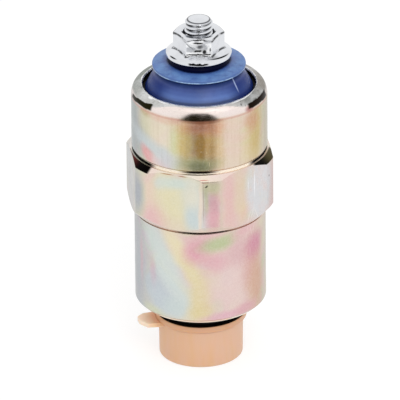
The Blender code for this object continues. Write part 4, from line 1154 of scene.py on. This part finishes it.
WIRE_PITCH = 0.45
INNER_FINISHES = {
    "steel": lambda: plain_metal("turned_steel", (176, 178, 182), (140, 142, 146), 0.3, 60.0, 5000.0),
    "spring_steel": lambda: plain_metal("spring_steel", (128, 130, 134), (90, 92, 96), 0.32, 2500.0, 2500.0),
    "brass": lambda: plain_metal("drawn_brass", (222, 190, 112), (186, 150, 84), 0.28, 2000.0, 60.0),
    "copper": copper_winding,
    "white_nylon": lambda: plain_moulding("white_nylon", (232, 230, 220), (214, 210, 196), 0.45, 300.0),
    "brown_fibre": lambda: plain_moulding("brown_fibre", (134, 92, 58), (94, 62, 40), 0.75, 900.0),
    "yellow_tape": lambda: plain_moulding("yellow_tape", (222, 186, 82), (196, 158, 60), 0.35, 500.0),
}
INNER_PIECES = {
    "steel": ("plunger", "pole_piece", "top_plate"),
    "spring_steel": ("return_spring", "wave_washer"),
    "brass": ("guide_sleeve", "contact_tag"),
    "copper": ("coil_winding", "live_lead", "earth_lead"),
    "white_nylon": ("coil_bobbin",),
    "brown_fibre": ("insulating_disc",),
    "yellow_tape": ("winding_tape",),
}
RUBBER_PIECES = ("plunger_seat", "rim_o_ring", "stud_o_ring", "lead_sleeve")
# Degrees from the middle of a flat to where it meets the turned corner.
HEXAGON_CORNER = 23.2
NUT_CORNER = 28.1
RING_STEPS = 144
# Rounds of the pull tab, round its outline and along its rims.
TAB_CORNER = 0.16 * MM
TAB_RIM = 0.08 * MM
# Hollows in the underside of the insulator, for the rim's O-ring, the stud's O-ring, its head and the tag.
REBATE = 1.5 * MM
RING_SEAT_WIDTH = 1.0 * MM
RING_SEAT_RISE = 3.4 * MM
POCKET_GAP = 0.3 * MM
TAG_ARM_WIDTH = 2.4 * MM


def rolled_rim(sizes):
    """Outline corners of the rolled rim, from the lip's underside over the crest to the barrel."""
    top = HOUSING_HIGH.z
    steps = 18
    corners = [
        (sizes.lip_radius, top - sizes.lip_thickness, 0.05 * MM),
        (sizes.lip_radius, top - 0.3 * MM, 0.15 * MM),
        (sizes.lip_radius + 0.14 * MM, top - 0.08 * MM, 0.1 * MM),
    ]
    for step in range(steps, -1, -1):
        along = pi / 2 * step / steps
        radius = sizes.crest_radius + (sizes.barrel_radius - sizes.crest_radius) * cos(along)
        corners.append((radius, top - sizes.shoulder_height * (1 - sin(along)), 0.0))
    return corners


def housing_heights(sizes):
    """Heights of the hexagon's top and foot, of the sealing face and of the thread's upper end."""
    hexagon_top = HOUSING_HIGH.z - sizes.barrel_length
    hexagon_foot = hexagon_top - sizes.hexagon_height
    seal_face = hexagon_foot - sizes.skirt_length
    return hexagon_top, hexagon_foot, seal_face, seal_face - sizes.undercut_length


def housing_corners(sizes):
    """Outline corners of the whole housing, down its outside and up its bore."""
    hexagon_top, hexagon_foot, seal_face, thread_top = housing_heights(sizes)
    foot = HOUSING_LOW.z
    top_fall = (sizes.corner_radius - sizes.top_face_radius) * tan(sizes.top_chamfer)
    foot_rise = (sizes.corner_radius - sizes.bottom_face_radius) * tan(sizes.bottom_chamfer)
    barrel_groove = sizes.barrel_radius - sizes.groove_depth
    skirt_groove = sizes.skirt_radius - sizes.groove_depth
    barrel_foot = hexagon_top + sizes.groove_width
    skirt_top = hexagon_foot - sizes.groove_width
    undercut_radius = sizes.nose_radius - sizes.undercut
    chamber_floor = seal_face + sizes.floor_thickness
    plate_step = HOUSING_HIGH.z - sizes.plate_depth
    lip_underside = HOUSING_HIGH.z - sizes.lip_thickness
    fine, broken = 0.06 * MM, 0.14 * MM
    return rolled_rim(sizes) + [
        (sizes.barrel_radius, barrel_foot + sizes.groove_depth, broken),
        (barrel_groove, barrel_foot, fine),
        (barrel_groove, hexagon_top, fine),
        (sizes.top_face_radius, hexagon_top, broken),
        (sizes.corner_radius, hexagon_top - top_fall, broken),
        (sizes.corner_radius, hexagon_foot + foot_rise, broken),
        (sizes.bottom_face_radius, hexagon_foot, broken),
        (skirt_groove, hexagon_foot, fine),
        (skirt_groove, skirt_top, fine),
        (sizes.skirt_radius, skirt_top, broken),
        (sizes.skirt_radius, seal_face + sizes.skirt_chamfer_height, 0.5 * MM),
        (sizes.skirt_radius - sizes.skirt_chamfer_width, seal_face, 0.3 * MM),
        (undercut_radius, seal_face, fine),
        (undercut_radius, thread_top, 0.0),
        (sizes.nose_radius, thread_top - sizes.undercut, 0.0),
        (sizes.nose_radius, foot + sizes.nose_chamfer, fine),
        (sizes.nose_radius - sizes.nose_chamfer, foot, fine),
        (sizes.stem_bore + sizes.undercut, foot, fine),
        (sizes.stem_bore, foot + sizes.undercut, fine),
        (sizes.stem_bore, chamber_floor, 0.0),
        (sizes.chamber_radius, chamber_floor, 0.0),
        (sizes.chamber_radius, plate_step, 0.0),
        (sizes.crimp_radius, plate_step, 0.0),
        (sizes.crimp_radius, lip_underside, 0.0),
    ]


class SOLENOID_OT_housing(bpy.types.Operator):
    """Turn the housing, mill its hexagon and cut the thread of its nose"""

    bl_idname = "solenoid.housing"
    bl_label = "Housing"

    def execute(self, context):
        sizes = context.scene.solenoid_housing
        material = zinc_yellow(context.scene.solenoid_colours)
        hexagon_top, hexagon_foot, seal_face, thread_top = housing_heights(sizes)
        outline = rounded(housing_corners(sizes))
        outline = finer(outline, hexagon_top - 1.0 * MM, hexagon_top + 0.01 * MM, 0.06 * MM)
        outline = finer(outline, hexagon_foot - 0.01 * MM, hexagon_foot + 1.8 * MM, 0.08 * MM)
        outline = finer(outline, HOUSING_LOW.z, thread_top, 0.09 * MM)
        flat_turn = sizes.hexagon_turn - pi / 2 - pi / 6
        housing = turned_piece("housing_shell", outline, hexagon_angles(flat_turn, HEXAGON_CORNER))
        hexagon = (sizes.across_flats, flat_turn, sizes.edge_softness, *NO_FOOT)
        shape_by(housing, flats_tree(), FLATS_SIZES, (*hexagon, material))
        below = HOUSING_LOW.z - sizes.thread_pitch
        thread = (sizes.thread_pitch, sizes.thread_depth, sizes.nose_radius, below, thread_top, RUNOUT)
        shape_by(housing, thread_tree(), THREAD_SIZES, (*thread, material))
        smooth(housing, material)
        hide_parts("housing")
        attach(housing, "housing")
        return {"FINISHED"}


class SOLENOID_OT_nose_seal(bpy.types.Operator):
    """Make the O-ring between the cap and the sealing face"""

    bl_idname = "solenoid.nose_seal"
    bl_label = "Nose seal"

    def execute(self, context):
        section = (SEAL_HIGH.z - SEAL_LOW.z) / 2
        middle = Vector((SEAL_HIGH.x - section, (SEAL_LOW.z + SEAL_HIGH.z) / 2))
        steps = 28
        outline = []
        for step in range(steps):
            around = -2 * pi * step / steps
            outline.append((middle.x + section * cos(around), middle.y + section * sin(around)))
        seal = turned_piece("nose_seal", outline, even_angles(RING_STEPS))
        smooth(seal, rubber_finish(context))
        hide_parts("nose_o_ring")
        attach(seal, "housing")
        return {"FINISHED"}


def shared(name, make, *settings):
    """A finish that several pieces share, made for the first of them."""
    made = bpy.data.materials.get(name)
    if made is None:
        made = make(*settings)
        made.name = name
    return made


def rubber_finish(context):
    return shared("black_rubber_moulded", black_rubber, context.scene.solenoid_colours)


def bright_finish(context):
    settings = (context.scene.solenoid_colours, context.scene.solenoid_terminal)
    return shared("bright_zinc_plate", zinc_bright, *settings)


def tab_plate(sizes):
    """Flat pull tab with one lightly and one deeply clipped corner, rooted in the cap's wall."""
    root = (sizes.bore + sizes.radius) / 2
    tip = sizes.collar_radius + sizes.tab_reach
    half_root, half_tip = sizes.tab_root / 2, sizes.tab_tip / 2
    shoulder = tip - sizes.tab_clip
    outline = [
        (root, -half_root),
        (shoulder, -half_tip),
        (tip, sizes.tab_back_clip - half_tip),
        (tip, half_tip - sizes.tab_front_clip),
        (shoulder, half_tip),
        (root, half_root),
    ]
    shape = bmesh.new()
    face = shape.faces.new([shape.verts.new((reach, across, 0.0)) for reach, across in outline])
    lifted = bmesh.ops.extrude_face_region(shape, geom=[face])["geom"]
    top = [item for item in lifted if isinstance(item, bmesh.types.BMVert)]
    bmesh.ops.translate(shape, verts=top, vec=(0.0, 0.0, sizes.tab_thickness))
    bmesh.ops.recalc_face_normals(shape, faces=shape.faces)
    clear, level = root + 0.1 * MM, 0.01 * MM
    upright = [e for e in shape.edges if abs(e.verts[0].co.z - e.verts[1].co.z) > level]
    upright = [e for e in upright if e.verts[0].co.x > clear]
    bmesh.ops.bevel(shape, geom=upright, offset=TAB_CORNER, segments=3, affect="EDGES", profile=0.5)
    rims = [e for e in shape.edges if abs(e.verts[0].co.z - e.verts[1].co.z) < level]
    rims = [e for e in rims if max(v.co.x for v in e.verts) > clear]
    bmesh.ops.bevel(shape, geom=rims, offset=TAB_RIM, segments=3, affect="EDGES", profile=0.5)
    height = CAP_HIGH.z - sizes.tab_drop
    place = Matrix.Translation((0.0, 0.0, height)) @ Matrix.Rotation(pi + sizes.tab_turn, 4, "Z")
    bmesh.ops.transform(shape, matrix=place, verts=shape.verts)
    return piece_from("tab_plate", shape)


class SOLENOID_OT_cap(bpy.types.Operator):
    """Make the push-on cap with its collar and pull tab"""

    bl_idname = "solenoid.cap"
    bl_label = "Cap"

    def execute(self, context):
        sizes = context.scene.solenoid_cap
        mouth = CAP_HIGH.z
        collar_foot = mouth - sizes.collar_height
        wall = sizes.radius + sizes.draft
        outline = rounded([
            (0.0, 0.0, 0.0),
            (sizes.radius, 0.0, sizes.foot_round),
            (wall, collar_foot - 0.25 * MM, 0.2 * MM),
            (sizes.collar_radius, collar_foot + 0.25 * MM, 0.2 * MM),
            (sizes.collar_radius, mouth, 0.22 * MM),
            (sizes.bore, mouth, 0.2 * MM),
            (sizes.bore, sizes.floor, 0.4 * MM),
            (0.0, sizes.floor, 0.0),
        ], steps=5)
        cap = turned_piece("cap_moulding", outline, even_angles(RING_STEPS))
        combined(cap, tab_plate(sizes), "UNION")
        smooth(cap, peach_plastic(context.scene.solenoid_colours))
        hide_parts("nose_cap")
        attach(cap, "nose_cap")
        return {"FINISHED"}


class SOLENOID_OT_insulator(bpy.types.Operator):
    """Make the blue moulding with its shed, cone and clamped flange"""

    bl_idname = "solenoid.insulator"
    bl_label = "Insulator"

    def execute(self, context):
        sizes = context.scene.solenoid_insulator
        foot = INSULATOR_LOW.z
        flange_top = foot + sizes.flange
        cone_top = flange_top + sizes.cone_height
        shed_foot = cone_top + sizes.waist
        shed_shoulder = shed_foot + sizes.shed_edge
        boss_foot = shed_shoulder + sizes.shed_slope
        boss_top = boss_foot + sizes.boss_height
        outline = rounded([
            (sizes.stud_bore, boss_top, 0.1 * MM),
            (sizes.boss_top, boss_top, 0.12 * MM),
            (sizes.boss_foot, boss_foot, 0.5 * MM),
            (sizes.shed_radius, shed_shoulder, 0.22 * MM),
            (sizes.shed_radius, shed_foot, 0.16 * MM),
            (sizes.cone_top, shed_foot, 0.12 * MM),
            (sizes.cone_top, cone_top, 0.6 * MM),
            (sizes.cone_foot, flange_top, 0.15 * MM),
            (sizes.stack_radius, flange_top, 0.1 * MM),
            (sizes.stack_radius, foot + REBATE, 0.0),
            (sizes.stack_radius - REBATE, foot + REBATE, 0.0),
            (sizes.stack_radius - REBATE, foot, 0.0),
            (sizes.stud_bore + RING_SEAT_WIDTH, foot, 0.0),
            (sizes.stud_bore + RING_SEAT_WIDTH, STUD_LOW.z + RING_SEAT_RISE, 0.0),
            (sizes.stud_bore, STUD_LOW.z + RING_SEAT_RISE, 0.0),
        ], steps=5)
        moulding = turned_piece("insulator_moulding", outline, even_angles(RING_STEPS))
        combined(moulding, head_pocket(context.scene.solenoid_terminal), "DIFFERENCE")
        combined(moulding, tag_slot(), "DIFFERENCE")
        smooth(moulding, blue_moulding(context.scene.solenoid_colours))
        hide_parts("insulator")
        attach(moulding, "housing")
        return {"FINISHED"}


def head_pocket(sizes):
    """Six-sided cutter for the stud's head."""
    corner = (sizes.head_flats / 2 + POCKET_GAP) / cos(pi / 6)
    head_top = STUD_LOW.z + sizes.pip_height + sizes.head_height + POCKET_GAP
    foot = INSULATOR_LOW.z - 1.0 * MM
    outline = [(0.0, head_top), (corner, head_top), (corner, foot), (0.0, foot)]
    return turned_piece("head_pocket", outline, even_angles(6))


def tag_slot():
    """Box cutter for the arm of the contact tag."""
    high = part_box("contact_tag")[1]
    foot = INSULATOR_LOW.z - 1.0 * MM
    size = (high.x + POCKET_GAP, TAG_ARM_WIDTH + 2 * POCKET_GAP, high.z + POCKET_GAP - foot)
    shape = bmesh.new()
    place = Matrix.Translation((size[0] / 2, 0.0, foot + size[2] / 2)) @ Matrix.Diagonal((*size, 1.0))
    bmesh.ops.create_cube(shape, size=1.0, matrix=place)
    return piece_from("tag_slot", shape)


class SOLENOID_OT_stud(bpy.types.Operator):
    """Make the terminal stud with its thread and six-sided head"""

    bl_idname = "solenoid.stud"
    bl_label = "Terminal stud"

    def execute(self, context):
        sizes = context.scene.solenoid_terminal
        material = bright_finish(context)
        top, foot = STUD_HIGH.z, STUD_LOW.z
        head_foot = foot + sizes.pip_height
        head_top = head_foot + sizes.head_height
        corner = sizes.head_flats / 2 / cos(pi / 6)
        outline = rounded([
            (0.0, top, 0.0),
            (sizes.stud_radius - sizes.stud_chamfer, top, 0.08 * MM),
            (sizes.stud_radius, top - sizes.stud_chamfer, 0.0),
            (sizes.stud_radius, head_top, 0.0),
            (corner, head_top, 0.1 * MM),
            (corner, head_foot, 0.1 * MM),
            (sizes.pip_radius, head_foot, 0.0),
            (sizes.pip_radius, foot, 0.1 * MM),
            (0.0, foot, 0.0),
        ])
        outline = finer(outline, head_top, top, 0.06 * MM)
        stud = turned_piece("terminal_stud_threaded", outline, even_angles(96))
        head = (sizes.head_flats, 0.0, sizes.edge_softness, *NO_FOOT)
        shape_by(stud, flats_tree(), FLATS_SIZES, (*head, material))
        ends = (head_top + 1.0 * MM, top + 1.0 * MM)
        thread = (sizes.stud_pitch, sizes.stud_depth, sizes.stud_radius, *ends, RUNOUT)
        shape_by(stud, thread_tree(), THREAD_SIZES, (*thread, material))
        smooth(stud, material, sharp=50.0)
        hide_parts("terminal_stud")
        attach(stud, "housing")
        return {"FINISHED"}


class SOLENOID_OT_nut(bpy.types.Operator):
    """Make the flange nut of the terminal"""

    bl_idname = "solenoid.nut"
    bl_label = "Terminal nut"

    def execute(self, context):
        sizes = context.scene.solenoid_terminal
        material = bright_finish(context)
        seat, top = NUT_LOW.z, NUT_HIGH.z
        rim_top = seat + sizes.flange_rim
        flat_radius = sizes.nut_flats / 2
        slope = sizes.flange_rise / (sizes.flange_radius - flat_radius)
        corner_foot = rim_top + (sizes.flange_radius - sizes.nut_corner) * slope
        fall = (sizes.nut_corner - sizes.nut_top) * tan(sizes.nut_chamfer)
        outline = rounded([
            (sizes.nut_bore + sizes.bore_chamfer, top, 0.06 * MM),
            (sizes.nut_top, top, 0.1 * MM),
            (sizes.nut_corner, top - fall, 0.12 * MM),
            (sizes.nut_corner, corner_foot, 0.1 * MM),
            (sizes.flange_radius, rim_top, 0.16 * MM),
            (sizes.flange_radius, seat, 0.06 * MM),
            (sizes.nut_bore + sizes.bore_chamfer, seat, 0.0),
            (sizes.nut_bore, seat + sizes.bore_chamfer, 0.0),
            (sizes.nut_bore, top - sizes.bore_chamfer, 0.0),
        ])
        outline = finer(outline, corner_foot - 0.4 * MM, corner_foot + 0.5 * MM, 0.06 * MM)
        outline = finer(outline, top - fall - 0.1 * MM, top, 0.05 * MM)
        angles = hexagon_angles(-pi / 2, NUT_CORNER, 2.0, 0.5, 3)
        nut = turned_piece("terminal_nut_milled", outline, angles)
        foot = (sizes.flange_radius, rim_top, slope)
        hexagon = (sizes.nut_flats, -pi / 2, sizes.edge_softness, *foot)
        shape_by(nut, flats_tree(), FLATS_SIZES, (*hexagon, material))
        smooth(nut, material)
        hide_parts("terminal_nut")
        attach(nut, "housing")
        return {"FINISHED"}


class SOLENOID_OT_inner_finishes(bpy.types.Operator):
    """Give the pieces inside the housing their finishes"""

    bl_idname = "solenoid.inner_finishes"
    bl_label = "Inner finishes"

    def execute(self, context):
        for slot, pieces in INNER_PIECES.items():
            material = INNER_FINISHES[slot]()
            for name in pieces:
                dress(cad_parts[name], material)
        for name in RUBBER_PIECES:
            dress(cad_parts[name], rubber_finish(context))
        shorten_with_plunger("return_spring")
        return {"FINISHED"}


def shorten_with_plunger(name):
    """Give a spring a mesh of its own."""
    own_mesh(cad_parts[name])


def dress(node, material):
    """Put a material on every slot of a carried-over piece."""
    for slot in node.material_slots:
        slot.material = material


def curved_screen(radius, half_angle, top, columns=48):
    """Upright screen round the front, as far as the half angle to each side."""
    shape = bmesh.new()
    posts = []
    for column in range(columns + 1):
        angle = radians(half_angle * (2 * column / columns - 1))
        x, y = radius * sin(angle), -radius * cos(angle)
        posts.append((shape.verts.new((x, y, 0.0)), shape.verts.new((x, y, top))))
    for (foot, head), (next_foot, next_head) in zip(posts, posts[1:]):
        shape.faces.new((foot, next_foot, next_head, head))
    return shape


def screen_finish():
    """Self-lit material of the front screen: the brown column of the barrel and the dark dome at its edge."""
    finish = Finish("front_screen", 1.0)
    angle, height, radius = finish.polar()
    shaken = angle + finish.shake(55.0, 10.0)
    sides = shaken.step(-9.0, -44.0, 0.48, 1.0) | shaken.step(19.0, 31.0, 0.48, 1.0)
    slot = abs(angle - 11.5).step(1.0, 6.0, 0.2, 0.0)
    low = finish.math("ADD", sides + slot, height.step(11.5, 13.0, 0.0, 0.3), clamp=True)
    crown = finish.math("SUBTRACT", 1.0, height / 150.0, clamp=True)
    reach = finish.math("POWER", crown, 0.8) * 36.0
    finish.tint = Color((0.012, 0.01, 0.003))
    finish.paint(abs(angle).step(reach - 4.0, reach + 3.0), (255, 255, 255))
    dome, finish.tint = finish.tint, low
    finish.paint(height.step(19.0, 25.0), dome)
    glow = finish.made("ShaderNodeEmission", finish.tint)
    finish.put(glow, finish.tree.nodes["Material Output"].inputs["Surface"])
    return finish.material


def front_screen():
    """Screen in front that only reflections see."""
    radius, half_angle, top = 92 * MM, 46.0, 165 * MM
    screen = piece_from("front_screen", curved_screen(radius, half_angle, top))
    screen.data.materials.append(screen_finish())
    screen.visible_camera = False
    screen.visible_diffuse = False
    screen.visible_shadow = False
    screen.visible_transmission = False


def white_world(context, level):
    """White studio: full white to the camera and in reflections, a plain level on plain surfaces."""
    world = bpy.data.worlds.new("white_studio")
    world.use_nodes = True
    graph = Graph(world.node_tree)
    nodes = world.node_tree.nodes
    plain = nodes["Background"]
    graph.put((1.0, 1.0, 1.0, 1.0), plain.inputs["Color"])
    graph.put(level, plain.inputs["Strength"])
    seen = graph.made("ShaderNodeBackground", (1.0, 1.0, 1.0, 1.0), 1.0)
    ray = graph.named("ShaderNodeLightPath")
    direct = ray["Is Camera Ray"] | ray["Is Glossy Ray"] | ray["Is Transmission Ray"]
    both = graph.made("ShaderNodeMixShader", direct, plain.outputs[0], seen)
    graph.put(both, nodes["World Output"].inputs["Surface"])
    context.scene.world = world


def pale_floor(white):
    """Large pale floor that keeps the solenoid's soft shadow."""
    shape = bmesh.new()
    bmesh.ops.create_circle(shape, cap_ends=True, radius=2.0, segments=96)
    floor = piece_from("studio_floor", shape)
    finish = Finish("studio_floor", 1.0, tint=Color((white, white, white)))
    finish.set("Specular IOR Level", 0.0)
    ray = finish.named("ShaderNodeLightPath")
    glow = finish.made("ShaderNodeEmission", (1.0, 1.0, 1.0, 1.0), ray["Is Camera Ray"].scaled(0.12, 1.0))
    direct = (ray["Is Camera Ray"] | ray["Is Glossy Ray"]) * 0.6
    both = finish.made("ShaderNodeMixShader", direct, finish.shader.outputs[0], glow)
    finish.put(both, finish.tree.nodes["Material Output"].inputs["Surface"])
    floor.data.materials.append(finish.done())


LAMP_PLACE = (0.16, -0.62, 0.62)
LAMP_SIZE = 0.5


def area_lamp(context, name, place, aim, size, power):
    """Large soft lamp that points at a place."""
    data = bpy.data.lights.new(name, "AREA")
    data.shape = "DISK"
    data.size = size
    data.energy = power
    lamp = bpy.data.objects.new(name, data)
    lamp.location = place
    lamp.rotation_mode = "QUATERNION"
    lamp.rotation_quaternion = (Vector(aim) - Vector(place)).to_track_quat("-Z", "Y")
    context.scene.collection.objects.link(lamp)


def studio_camera(context, studio):
    """Camera at the picture's angle, without depth of field."""
    data = bpy.data.cameras.new("studio_camera")
    data.sensor_width = 36.0
    data.lens = data.sensor_width * studio.distance / studio.field
    data.clip_start = 0.1
    data.clip_end = 10.0
    back = Vector((0.0, -cos(studio.elevation), sin(studio.elevation)))
    camera = bpy.data.objects.new("studio_camera", data)
    camera.location = Vector((0.0, 0.0, studio.aim_height)) + back * studio.distance
    camera.rotation_mode = "QUATERNION"
    level = (-back).to_track_quat("-Z", "Y")
    camera.rotation_quaternion = level @ Matrix.Rotation(-studio.roll, 3, "Z").to_quaternion()
    context.scene.collection.objects.link(camera)
    context.scene.camera = camera


class SOLENOID_OT_studio(bpy.types.Operator):
    """Set up the floor, light and camera"""

    bl_idname = "solenoid.studio"
    bl_label = "Studio"

    def execute(self, context):
        studio = context.scene.solenoid_studio
        context.scene.view_settings.view_transform = "Standard"
        white_world(context, studio.sky_level)
        pale_floor(studio.floor_white)
        front_screen()
        middle = (0.0, 0.0, studio.aim_height)
        area_lamp(context, "key_lamp", LAMP_PLACE, middle, LAMP_SIZE, studio.key_power)
        studio_camera(context, studio)
        return {"FINISHED"}


OPERATORS = (
    SOLENOID_OT_studio,
    SOLENOID_OT_housing,
    SOLENOID_OT_nose_seal,
    SOLENOID_OT_cap,
    SOLENOID_OT_insulator,
    SOLENOID_OT_stud,
    SOLENOID_OT_nut,
    SOLENOID_OT_inner_finishes,
)
SETTINGS = {
    "solenoid_housing": HousingSizes,
    "solenoid_cap": CapSizes,
    "solenoid_insulator": InsulatorSizes,
    "solenoid_terminal": TerminalSizes,
    "solenoid_colours": FinishColours,
    "solenoid_studio": StudioSettings,
}


class SOLENOID_PT_pieces(bpy.types.Panel):
    """Pieces of the solenoid"""

    bl_idname = "SOLENOID_PT_pieces"
    bl_label = "Solenoid"
    bl_space_type = "VIEW_3D"
    bl_region_type = "UI"
    bl_category = "Solenoid"

    def draw(self, context):
        for operator in OPERATORS:
            self.layout.operator(operator.bl_idname)


def register():
    for settings in SETTINGS.values():
        bpy.utils.register_class(settings)
    for name, settings in SETTINGS.items():
        setattr(bpy.types.Scene, name, PointerProperty(type=settings))
    for operator in OPERATORS:
        bpy.utils.register_class(operator)
    bpy.utils.register_class(SOLENOID_PT_pieces)


def unregister():
    bpy.utils.unregister_class(SOLENOID_PT_pieces)
    for operator in reversed(OPERATORS):
        bpy.utils.unregister_class(operator)
    for name, settings in SETTINGS.items():
        delattr(bpy.types.Scene, name)
        bpy.utils.unregister_class(settings)


def main():
    """Make every piece in order."""
    register()
    for operator in OPERATORS:
        group, name = operator.bl_idname.split(".")
        getattr(getattr(bpy.ops, group), name)()


if __name__ == "__main__":
    main()
